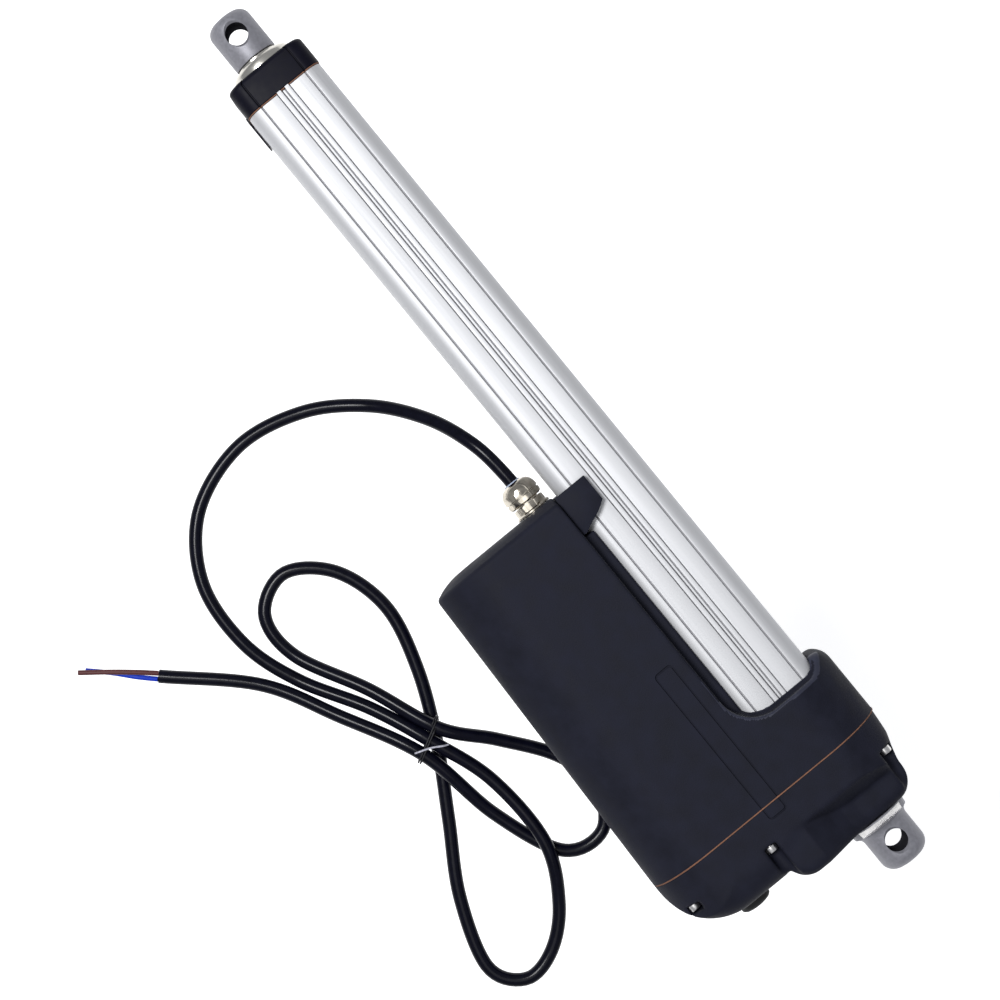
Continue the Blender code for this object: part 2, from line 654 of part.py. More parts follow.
def cross_hole(obj, x, radius):
    """A pin hole along Z through an eye, with both ends chamfered."""
    chamfer = 1.6
    levels = [(-20.0, EYE_HOLE_RADIUS + chamfer), (-radius - 0.1, EYE_HOLE_RADIUS + chamfer)]
    levels += [(-radius + chamfer, EYE_HOLE_RADIUS)]
    levels += [(-z, hole) for z, hole in reversed(levels)]
    rings = [[(px, py, z) for px, py in circle(hole, 24, (x, 0.0))] for z, hole in levels]
    boolean(obj, mesh_piece(f"{obj.name}_hole", loft(rings), obj.parent))


def end_round(x, radius, corner, steps=4):
    """Points (x, r) of a turned piece's rounded end at x, from the axis out to its side."""
    inwards = -math.copysign(corner, x)
    points = []
    for i in range(steps):
        angle = math.radians(90 * i / (steps - 1))
        points.append((x + inwards * (1 - math.cos(angle)),
                       radius - corner + corner * math.sin(angle)))
    return points


def rod_eye(axis):
    spigot = ROD_BORE - GAP
    profile = [(256.0, spigot - 0.7), (256.7, spigot), (ROD_EYE_BACK_X, spigot)]
    profile += [(ROD_EYE_BACK_X, ROD_EYE_RADIUS - 0.6), (ROD_EYE_BACK_X + 0.6, ROD_EYE_RADIUS)]
    profile += reversed(end_round(HALF_LENGTH, ROD_EYE_RADIUS, 6.5))
    eye = mesh_piece("rod_eye", turned(profile), axis, "grey_steel")
    cross_hole(eye, ROD_HOLE_X, ROD_EYE_RADIUS)


def rear_eye(axis):
    """The fixed eye: a turned fork end with a flanged foot and two milled flats."""
    foot_x = BOSS_REAR_X - GAP
    shank = 9.0
    profile = end_round(-HALF_LENGTH, REAR_EYE_RADIUS, 8.0)
    profile += arc((-282.8, REAR_EYE_RADIUS + 5.0), 5.0, -90, -20, 5)
    profile += [(foot_x, 18.4), (foot_x, shank), (-258.8, shank), (-258.0, shank - 0.8)]
    eye = mesh_piece("rear_eye", turned(profile), axis, "grey_steel")
    for side in (-1, 1):
        z = sorted((side * 11.4, side * 30.0))
        flat = box((-277.9, -274.2), (-30.0, 30.0), z)
        boolean(eye, mesh_piece(f"rear_eye_flat_{side}", flat, axis))
    cross_hole(eye, REAR_HOLE_X, REAR_EYE_RADIUS)
    nut = mesh_piece("clevis_nut", prism_x(hexagon(22.0), -265.7, -259.5), axis, "screw_steel")
    drill_x(nut, "clevis_nut_bore", shank + GAP, (-270.0, -250.0), sides=ROUND)


# ------------------------------------------------------------ screw and rod

def lead_screw(axis):
    profile = [(-247.6, JOURNAL_RADIUS), (SCREW_SHOULDER_X, JOURNAL_RADIUS)]
    profile += [(SCREW_SHOULDER_X, SCREW_RADIUS), (SCREW_FRONT_X - 2, SCREW_RADIUS)]
    profile += [(SCREW_FRONT_X, SCREW_RADIUS - 2)]
    mesh_piece("lead_screw", turned(profile, INNER_ROUND), axis, "polished_steel")
    spacer = sleeve((-234.3, -223.2), JOURNAL_RADIUS + GAP, 9.0, SMALL_ROUND)
    mesh_piece("screw_spacer", spacer, axis, "screw_steel")
    nut = mesh_piece("screw_end_nut", prism_x(hexagon(17.0), -247.0, -242.9), axis,
                     "screw_steel")
    drill_x(nut, "screw_end_nut_bore", JOURNAL_RADIUS + GAP, (-250.0, -240.0))


def drive_nut(axis):
    bore, radius, socket = SCREW_RADIUS + 0.4, 14.6, ROD_RADIUS + GAP
    profile = [(-199.0, bore), (-199.0, radius), (-175.0, radius), (-175.0, socket)]
    profile += [(-185.3, socket), (-185.3, bore)]
    mesh_piece("drive_nut", turned_ring(profile, INNER_ROUND), axis, "bronze")
    ring = sleeve((-197.0, -177.0), radius + GAP, TUBE_BORE - GAP, INNER_ROUND)
    guide = mesh_piece("nut_guide", ring, axis, "white_nylon")
    for name, y in (("upper", (17.0, 20.4)), ("lower", (-20.4, -17.0))):
        key = box((-196.0, -178.0), y, (-2.4, 2.4))
        key.transform(Matrix.Rotation(math.radians(45), 4, "X"))
        boolean(guide, mesh_piece(f"guide_key_{name}", key, axis), "UNION")
    for name, radius, y, finish in (("guide_magnet_seat", 2.8, (15.9, 25.0), None),
                                    ("nut_magnet", 2.5, (16.2, 17.9), "magnet")):
        outline = circle(radius, SMALL_ROUND, (-187.0, 0.0))
        disc = mesh_piece(name, prism_y(outline, *y), axis, finish)
        if not finish:
            boolean(guide, disc)


def piston_rod(axis):
    mesh_piece("piston_rod", sleeve((-185.0, ROD_EYE_BACK_X - GAP), ROD_BORE, ROD_RADIUS),
               axis, "polished_steel")


def end_stop_sensors(axis):
    """A narrow board along the tube, with a magnetic sensor at each end of the stroke."""
    board = box((-200.0, 176.0), (20.7, 21.9), (-5.3, 5.3))
    mesh_piece("sensor_board", board, axis, "board_green")
    for name, x in (("rear", -187.0), ("front", 163.0)):
        chip = box((x - 3.0, x + 3.0), (18.9, 20.4), (-2.5, 2.5))
        mesh_piece(f"end_sensor_{name}", chip, axis, "black_plastic")


# ------------------------------------------------------------------- gears

def gear_outline(teeth, phase):
    """Involute teeth, as one closed outline in (y, z). A tooth is centred at the phase."""
    pitch = GEAR_MODULE * teeth / 2
    base = pitch * math.cos(PRESSURE_ANGLE)
    root = pitch - DEDENDUM * GEAR_MODULE
    tip = pitch + ADDENDUM * GEAR_MODULE
    start = max(base, root)

    def involute(radius):
        angle = math.acos(min(1.0, base / radius))
        return math.tan(angle) - angle

    half_tooth = math.pi / (2 * teeth) - BACKLASH / (4 * pitch)
    flank = []
    radii = (start, tip) if teeth > 20 else (start, (start + tip) / 2, tip)
    for radius in radii:
        flank.append((radius, half_tooth + involute(pitch) - involute(radius)))
    if root < base:
        flank.insert(0, (root, flank[0][1]))
    outline = []
    for tooth in range(teeth):
        centre = phase + 2 * math.pi * tooth / teeth
        for side, points in ((-1, flank), (1, list(reversed(flank)))):
            for radius, half in points:
                angle = centre + side * half
                outline.append((radius * math.cos(angle), radius * math.sin(angle)))
    return outline


def spur_gear(name, teeth, x, phase, parent, finish, bore):
    gear = mesh_piece(name, prism_x(gear_outline(teeth, phase), *x), parent, finish)
    if bore:
        drill_x(gear, f"{name}_bore", bore, (x[0] - 20, x[1] + 20))
    return gear


def gear_train(screw_axis, idler_axis, motor_axis):
    spur_gear("screw_gear", SCREW_GEAR_TEETH, SCREW_GEAR_X, math.pi / SCREW_GEAR_TEETH,
              screw_axis, "cast_alloy", JOURNAL_RADIUS + GAP)
    wheel = mesh_piece("idler_gear", prism_x(gear_outline(WHEEL_TEETH, 0.0), *WHEEL_X),
                       idler_axis, "white_nylon")
    pinion_x = (SCREW_GEAR_X[0], WHEEL_X[0] + 2)
    pinion = mesh_piece("idler_pinion_part",
                        prism_x(gear_outline(IDLER_PINION_TEETH, 0.0), *pinion_x), idler_axis)
    boolean(wheel, pinion, "UNION")
    drill_x(wheel, "idler_bore", 4.3, (-250.0, -220.0))
    axle = [(-249.2, 3.6), (-248.8, 4.0), (-207.6, 4.0), (-207.2, 3.6)]
    mesh_piece("idler_axle", turned(axle, SMALL_ROUND), idler_axis, "screw_steel")
    spur_gear("motor_pinion", PINION_TEETH, (WHEEL_X[0] - 0.6, WHEEL_X[1] + 0.6),
              math.pi / PINION_TEETH, motor_axis, "screw_steel", MOTOR_SHAFT_RADIUS + GAP)


# ---------------------------------------------------- gearbox plate, bearings

def gearbox_plate(axis):
    """The plate that closes the tube and the motor bore and carries the shafts."""
    outline = [(y, z) for _, y, z in body_section(SEAM_X, 8.3)]
    x = (-218.0, -206.6)
    plate = mesh_piece("gearbox_plate", prism_x(outline, *x), axis, "cast_alloy")
    through = (x[0] - 1, x[1] + 1)
    drill_x(plate, "plate_screw_hole", 12.0, through)
    drill_x(plate, "plate_bearing_seat", 16.3, (x[0] - 1, -208.5), sides=INNER_ROUND)
    drill_x(plate, "plate_axle_hole", 4.3, through, IDLER_Y)
    drill_x(plate, "plate_shaft_hole", 5.0, through, AXIS_SPACING)
    drill_x(plate, "plate_motor_bearing_seat", 8.3, (x[0] - 1, -212.0), AXIS_SPACING)


def bearings(screw_axis, motor_axis):
    journal = JOURNAL_RADIUS + GAP
    for name, x, outside in (("screw_bearing", (-217.8, -208.8), 16.0),
                             ("thrust_bearing", (-222.9, -218.4), 14.5)):
        mesh_piece(name, sleeve(x, journal, outside, INNER_ROUND), screw_axis, "screw_steel")
    shaft = MOTOR_SHAFT_RADIUS + GAP
    for name, x in (("motor_bearing_front", (-217.5, -212.3)),
                    ("motor_bearing_rear", (-74.5, -69.5))):
        mesh_piece(name, sleeve(x, shaft, 8.0, SMALL_ROUND), motor_axis, "screw_steel")


# ------------------------------------------------------------------- motor

def motor(axis):
    can_wall = 2.0
    can = [(MOTOR_X[0], 6.0), (MOTOR_X[0], MOTOR_RADIUS), (MOTOR_X[1], MOTOR_RADIUS)]
    can += [(MOTOR_X[1], MOTOR_RADIUS - can_wall), (MOTOR_X[0] + can_wall, MOTOR_RADIUS - can_wall)]
    can += [(MOTOR_X[0] + can_wall, 6.0)]
    mesh_piece("motor_can", turned_ring(can, INNER_ROUND), axis, "cast_alloy")
    for name, middle in (("motor_magnet_1", 90.0), ("motor_magnet_2", -90.0)):
        outer = arc((0.0, 0.0), 25.8, middle - 65, middle + 65, 14)
        inner = arc((0.0, 0.0), 22.0, middle + 65, middle - 65, 14)
        mesh_piece(name, prism_x(outer + inner, -190.0, -110.0), axis, "magnet")
    shaft, core, commutator = MOTOR_SHAFT_RADIUS, 21.0, 10.0
    armature = [(-235.5, shaft), (-185.0, shaft), (-185.0, core - 4), (-183.0, core)]
    armature += [(-117.0, core), (-115.0, core - 4), (-115.0, commutator)]
    armature += [(-92.0, commutator), (-92.0, shaft), (-68.8, shaft)]
    mesh_piece("motor_armature", turned(armature, INNER_ROUND), axis, "cast_alloy")
    cap = [(BRUSH_CAP_X[0], 12.0), (BRUSH_CAP_X[0], MOTOR_RADIUS)]
    cap += [(BRUSH_CAP_X[1] - 2, MOTOR_RADIUS), (BRUSH_CAP_X[1], MOTOR_RADIUS - 2)]
    cap += [(BRUSH_CAP_X[1], 8.3), (-75.0, 8.3), (-75.0, 4.0), (-77.0, 4.0), (-77.0, 12.0)]
    mesh_piece("motor_brush_cap", turned_ring(cap, INNER_ROUND), axis, "black_plastic")


# ------------------------------------------------------------- cable, gland

def cable_gland(axis):
    """A metal gland: a flanged hexagon body, a domed clamping nut and its seal ring."""
    bore = CABLE_RADIUS + 0.4
    body = [(-26.0, bore), (-26.0, 7.4), (-19.6, 7.4), (-19.6, 11.0), (-18.0, 11.0)]
    body += [(-17.4, 10.4), (-17.4, 8.6), (-13.4, 8.6), (-13.4, 7.2), (-9.0, 7.2), (-9.0, bore)]
    gland = mesh_piece("cable_gland_body", moved(turned_ring(body, 24), y=GLAND_Y), axis, "nickel")
    outline = [(y + GLAND_Y, z) for y, z in hexagon(19.0)]
    hexagon_part = mesh_piece("gland_hexagon", prism_x(outline, -17.6, -13.6), axis)
    drill_x(hexagon_part, "gland_hexagon_bore", bore, (-20.0, -10.0), GLAND_Y, sides=24)
    boolean(gland, hexagon_part, "UNION")
    nut = [(-12.9, 7.6), (-12.9, 9.4), (-11.9, 9.9), (-5.2, 9.9)]
    nut += [(-5.0 + 5.1 * math.sin(a), 5.9 + 4.0 * math.cos(a))
            for a in (0.35, 0.75, 1.15, 1.5)]
    nut += [(0.1, 5.3), (-8.6, 5.3), (-8.6, 7.6)]
    mesh_piece("cable_gland_nut", moved(turned_ring(nut, 24), y=GLAND_Y), axis, "nickel")
    seal = sleeve((-8.3, 0.8), bore, 5.0, 24)
    mesh_piece("cable_gland_seal", moved(seal, y=GLAND_Y), axis, "seal_blue")


def smooth_route(points, spacing, lowest):
    """Points at even spacing on a smooth curve through the given ones, none below lowest."""
    points = [Vector(p) for p in points]
    padded = [2 * points[0] - points[1]] + points + [2 * points[-1] - points[-2]]
    fine = []
    for a, b, c, d in zip(padded, padded[1:], padded[2:], padded[3:]):
        for step in range(16):
            t = step / 16
            fine.append(0.5 * (2 * b + (c - a) * t + (2 * a - 5 * b + 4 * c - d) * t * t
                               + (3 * b - a - 3 * c + d) * t ** 3))
    fine.append(points[-1])
    lengths = [0.0]
    for p, q in zip(fine, fine[1:]):
        lengths.append(lengths[-1] + (q - p).length)
    count = max(1, round(lengths[-1] / spacing))
    result = []
    at = 0
    for i in range(count + 1):
        target = lengths[-1] * i / count
        while at < len(fine) - 2 and lengths[at + 1] < target:
            at += 1
        part = (target - lengths[at]) / (lengths[at + 1] - lengths[at])
        point = fine[at].lerp(fine[at + 1], min(part, 1.0))
        point.z = max(point.z, lowest)
        result.append(point)
    return result


def cord(name, route, spacing, radius, finish, resolution):
    """A round cord along a route in metres, with its radius in millimetres."""
    points = smooth_route(route, spacing, radius * MM)
    curve = bpy.data.curves.new(name, "CURVE")
    curve.dimensions = "3D"
    curve.bevel_depth = radius * MM
    curve.bevel_resolution = resolution
    curve.use_fill_caps = True
    spline = curve.splines.new("POLY")
    spline.points.add(len(points) - 1)
    for spline_point, point in zip(spline.points, points):
        spline_point.co = (*point, 1.0)
    curve.materials.append(finish_material(name, finish))
    obj = bpy.data.objects.new(name, curve)
    bpy.context.scene.collection.objects.link(obj)


def cable():
    """The sheathed cable, with its two cores bare beyond the sheath's end."""
    cord("cable_sheath", CABLE_ROUTE, 0.019, CABLE_RADIUS, "cable_black", 3)
    cord("core_brown", BROWN_ROUTE, 0.006, CORE_RADIUS, "core_brown", 2)
    cord("core_blue", BLUE_ROUTE, 0.006, CORE_RADIUS, "core_blue", 2)


def rounded_box(half_y, half_z, radius):
    """A rectangle with round corners, in (y, z)."""
    y, z = half_y - radius, half_z - radius
    outline = []
    for turn, (side_y, side_z) in enumerate(((1, 1), (-1, 1), (-1, -1), (1, -1))):
        outline += arc((side_y * y, side_z * z), radius, turn * 90, turn * 90 + 90, 4)
    return outline


def cable_tie():
    """A flat band wrapped round the three runs of cable that lie side by side."""
    width, thickness = TIE_BAND
    half_y, half_z = TIE_INSIDE
    inner = rounded_box(half_y, half_z, half_z - 0.2)
    outer = rounded_box(half_y + thickness, half_z + thickness, half_z + thickness - 0.2)
    rings = [[(x, y, z) for y, z in outline]
             for x, outline in ((-width / 2, inner), (-width / 2, outer),
                                (width / 2, outer), (width / 2, inner))]
    place = axis_empty("tie_place", 0.0)
    place.location = TIE_PLACE
    place.rotation_euler.z = TIE_TURN
    mesh_piece("cable_tie", loft(rings, close_ends=False), place, "white_nylon")


def inner_leads():
    """The two leads from the cable's end to the motor's brush cap, inside the housing."""
    stations = (-24.0, -31.0, -36.0, -43.0, -50.0, -59.0, -67.5)
    offsets = (GLAND_Y, GLAND_Y, 41.0, 47.0, 58.0, 65.0, 66.0)
    for name, side, finish in (("inner_lead_brown", 1, "core_brown"),
                               ("inner_lead_blue", -1, "core_blue")):
        height = (HALF_H + side * 2.2) * MM
        route = [(x * MM, (TUBE_Y + y) * MM, height) for x, y in zip(stations, offsets)]
        cord(name, route, 0.004, CORE_RADIUS, finish, 2)


def main():
    clear_scene()
    tube_axis = axis_empty("tube_axis", 0.0)
    screw_axis = axis_empty("screw_axis", 0.0)
    idler_axis = axis_empty("idler_axis", IDLER_Y)
    motor_axis = axis_empty("motor_axis", AXIS_SPACING)
    outer_tube(tube_axis)
    front_cap(tube_axis)
    cap_gasket(tube_axis)
    cap_fittings(tube_axis)
    motor_housing(tube_axis)
    tube_clip(tube_axis)
    rear_cover(tube_axis)
    cover_fittings(tube_axis, motor_axis)
    rod_eye(tube_axis)
    rear_eye(tube_axis)
    lead_screw(screw_axis)
    drive_nut(tube_axis)
    piston_rod(tube_axis)
    end_stop_sensors(tube_axis)
    gear_train(screw_axis, idler_axis, motor_axis)
    gearbox_plate(tube_axis)
    bearings(screw_axis, motor_axis)
    motor(motor_axis)
    cable_gland(tube_axis)
    cable()
    cable_tie()
    inner_leads()


main()
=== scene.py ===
"""Looks of the parallel-motor linear actuator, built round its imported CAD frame.

Shapes are worked out in millimetres from the tube's axis at mid height: x runs along the
stroke, y towards the motor, z up. place_piece() puts them in the frame, in metres.
"""

import json
import math

import bmesh
import bpy
import numpy as np
from mathutils import Matrix, Vector


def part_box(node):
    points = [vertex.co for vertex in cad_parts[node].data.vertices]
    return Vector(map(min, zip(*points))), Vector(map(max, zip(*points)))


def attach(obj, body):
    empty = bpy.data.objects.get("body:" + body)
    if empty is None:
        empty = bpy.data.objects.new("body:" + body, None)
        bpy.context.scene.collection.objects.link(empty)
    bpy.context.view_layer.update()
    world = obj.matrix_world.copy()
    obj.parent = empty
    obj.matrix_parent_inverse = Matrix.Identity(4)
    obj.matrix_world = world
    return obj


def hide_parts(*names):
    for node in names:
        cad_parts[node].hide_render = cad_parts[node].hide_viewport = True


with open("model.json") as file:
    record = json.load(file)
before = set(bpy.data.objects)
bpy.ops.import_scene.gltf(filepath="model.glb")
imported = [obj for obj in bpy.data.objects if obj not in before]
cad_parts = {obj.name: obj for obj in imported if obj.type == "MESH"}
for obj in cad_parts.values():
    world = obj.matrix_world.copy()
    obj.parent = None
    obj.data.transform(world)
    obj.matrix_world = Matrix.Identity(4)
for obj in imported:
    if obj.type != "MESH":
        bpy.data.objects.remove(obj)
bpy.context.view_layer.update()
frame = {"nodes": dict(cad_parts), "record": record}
RECORD = frame["record"]
SLOT_OF = {part["node"]: part["material_slot"] for part in RECORD["subparts"]}
BODY_OF = {node: body for body, nodes in RECORD["behaviour"]["bodies"].items() for node in nodes}

MM = 0.001
TUBE_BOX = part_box("outer_tube")
AXIS = Vector((0.0, (TUBE_BOX[0].y + TUBE_BOX[1].y) / 2, (TUBE_BOX[0].z + TUBE_BOX[1].z) / 2))


def span(node):
    """A node's lowest and highest corners, in millimetres from the tube's axis."""
    low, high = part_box(node)
    return (low - AXIS) / MM, (high - AXIS) / MM


def middle(node):
    """A node's middle, measured the same way."""
    low, high = span(node)
    return (low + high) / 2


TUBE = span("outer_tube")
CAP = span("front_cap")
RING = span("cap_ring")
HOUSING = span("motor_housing")
COVER = span("rear_cover")
HALF_H = HOUSING[1].z
HALF_TUBE = TUBE[1].y
MOTOR_Y = middle("motor_can").y
IDLER_Y = middle("idler_axle").y
GLAND_Y = middle("cable_gland_nut").y
SEAM_X = HOUSING[0].x
FRONT_X = HOUSING[1].x
ROUND = 96                  # sides of a full turn on large pieces
SMALL_ROUND = 40            # the same on screws and small holes
FEW_SIDES = 24              # the same on holes that can't be seen
EYE_SIDES = 128             # the same on the eyes, where round ends and holes meet
PIN_RADIUS = 6.5            # of the cross pin's hole in both eyes
CHANNEL_RADIUS = 2.4        # of every hole that a screw's shank runs in

# The cable's route in metres, from the gland: the big loop, the tie, the lower loop and back
# under the bundle, the small loop, the tie, the stretch under the housing's side, and the tie
# a third time before the bare end.
CABLE_ROUTE = (
    (-0.0235, -0.0023, 0.0375),
    (0.0080, -0.0023, 0.0375),
    (0.0330, 0.0012, 0.0347),
    (0.0600, 0.0120, 0.0210),
    (0.0870, 0.0330, 0.0075),
    (0.1085, 0.0650, 0.0041),
    (0.1165, 0.1060, 0.0041),
    (0.1020, 0.1470, 0.0041),
    (0.0690, 0.1715, 0.0041),
    (0.0280, 0.1755, 0.0041),
    (-0.0090, 0.1645, 0.0041),
    (-0.0480, 0.1420, 0.0095),
    (-0.0845, 0.1266, 0.0147),
    (-0.1240, 0.1138, 0.0115),
    (-0.1700, 0.1128, 0.0130),
    (-0.2030, 0.1290, 0.0065),
    (-0.2220, 0.1500, 0.0041),
    (-0.2255, 0.1715, 0.0041),
    (-0.2060, 0.1845, 0.0041),
    (-0.1650, 0.1715, 0.0041),
    (-0.1260, 0.1480, 0.0041),
    (-0.0870, 0.1250, 0.0041),
    (-0.0480, 0.1072, 0.0041),
    (-0.0090, 0.0985, 0.0041),
    (0.0250, 0.1080, 0.0041),
    (0.0435, 0.1320, 0.0041),
    (0.0320, 0.1555, 0.0041),
    (0.0030, 0.1570, 0.0041),
    (-0.0390, 0.1360, 0.0090),
    (-0.0813, 0.1185, 0.0152),
    (-0.1080, 0.0970, 0.0085),
    (-0.1370, 0.0765, 0.0041),
    (-0.1640, 0.0695, 0.0041),
    (-0.1870, 0.0835, 0.0041),
    (-0.1815, 0.1085, 0.0041),
    (-0.1400, 0.1255, 0.0070),
    (-0.0877, 0.1348, 0.0152),
    (-0.0400, 0.1590, 0.0075),
    (0.0020, 0.1825, 0.0041),
    (0.0431, 0.2249, 0.0041),
)
BROWN_ROUTE = (
    (0.0446, 0.2240, 0.0041),
    (0.0527, 0.2329, 0.0053),
    (0.0628, 0.2450, 0.0056),
    (0.0741, 0.2596, 0.0044),
)
BLUE_ROUTE = (
    (0.0422, 0.2264, 0.0041),
    (0.0509, 0.2353, 0.0017),
    (0.0616, 0.2448, 0.0017),
    (0.0725, 0.2559, 0.0017),
)
CABLE_RADIUS = 4.0
CORE_RADIUS = 1.5
TIE_PLACE = (-0.0845, 0.1266, 0.0148)
TIE_TURN = math.radians(21.7)


# ---------------- materials

MIX_FACTOR, MIX_A, MIX_B = 0, 6, 7      # a Mix node's inputs when it mixes colours
MIX_COLOUR = 2                          # and its output
NOISE_RANGE = (0.3, 0.7)                # where nearly all of a noise's values lie
RELIEF_DEPTH = 0.0002                   # of the bump on every material, in metres


def add_node(material, kind, **values):
    """Add a shader node and set its properties or inputs, with _ for a space in a name."""
    node = material.node_tree.nodes.new(kind)
    for name, value in values.items():
        if name in node.bl_rna.properties:
            setattr(node, name, value)
        else:
            node.inputs[name.replace("_", " ")].default_value = value
    return node


def noise(material, scale, stretch, detail):
    """A noise over the object's own coordinates, which are in metres."""
    place = add_node(material, "ShaderNodeTexCoord")
    mapping = add_node(material, "ShaderNodeMapping", Scale=stretch)
    pattern = add_node(material, "ShaderNodeTexNoise", Scale=scale, Detail=detail)
    material.node_tree.links.new(place.outputs["Object"], mapping.inputs["Vector"])
    material.node_tree.links.new(mapping.outputs["Vector"], pattern.inputs["Vector"])
    return pattern.outputs["Fac"]


def ranged(material, source, source_range, target_range):
    node = add_node(material, "ShaderNodeMapRange", From_Min=source_range[0],
                    From_Max=source_range[1], To_Min=target_range[0], To_Max=target_range[1])
    material.node_tree.links.new(source, node.inputs["Value"])
    return node.outputs["Result"]


def mixed(material, factor, first, second):
    """A colour between two, each a colour or another node's output."""
    node = add_node(material, "ShaderNodeMix", data_type="RGBA")
    material.node_tree.links.new(factor, node.inputs[MIX_FACTOR])
    for index, value in ((MIX_A, first), (MIX_B, second)):
        if isinstance(value, tuple):
            node.inputs[index].default_value = (*value, 1.0)
        else:
            material.node_tree.links.new(value, node.inputs[index])
    return node.outputs[MIX_COLOUR]


def surface(name, colour, roughness, metallic=0.0, *, scale=400.0, stretch=(1.0, 1.0, 1.0),
            tint=0.1, spread=0.06, grain=1500.0, bump=0.15, specular=0.5):
    """A Principled material whose colour, roughness and relief vary over its surface.

    tint and spread are how far its colour and roughness vary, and grain the relief's scale.
    """
    material = bpy.data.materials.new(name)
    material.use_nodes = True
    shader = material.node_tree.nodes["Principled BSDF"]
    shader.inputs["Metallic"].default_value = metallic
    shader.inputs["Specular IOR Level"].default_value = specular
    pattern = noise(material, scale, stretch, detail=4.0)
    factor = ranged(material, pattern, NOISE_RANGE, (0.0, 1.0))
    dark = tuple(c * (1 - tint) for c in colour)
    light = tuple(min(1.0, c * (1 + tint)) for c in colour)
    base = mixed(material, factor, dark, light)
    rough = ranged(material, pattern, NOISE_RANGE, (roughness - spread, roughness + spread))
    relief = add_node(material, "ShaderNodeBump", Strength=bump, Distance=RELIEF_DEPTH)
    links = material.node_tree.links
    links.new(base, shader.inputs["Base Color"])
    links.new(rough, shader.inputs["Roughness"])
    links.new(noise(material, grain, stretch, detail=3.0), relief.inputs["Height"])
    links.new(relief.outputs["Normal"], shader.inputs["Normal"])
    return material


ALONG_TUBE = (0.012, 1.0, 1.0)          # stretches a pattern into lines along X
ROUND_ROD = (1.0, 0.06, 0.06)           # and into lines across it

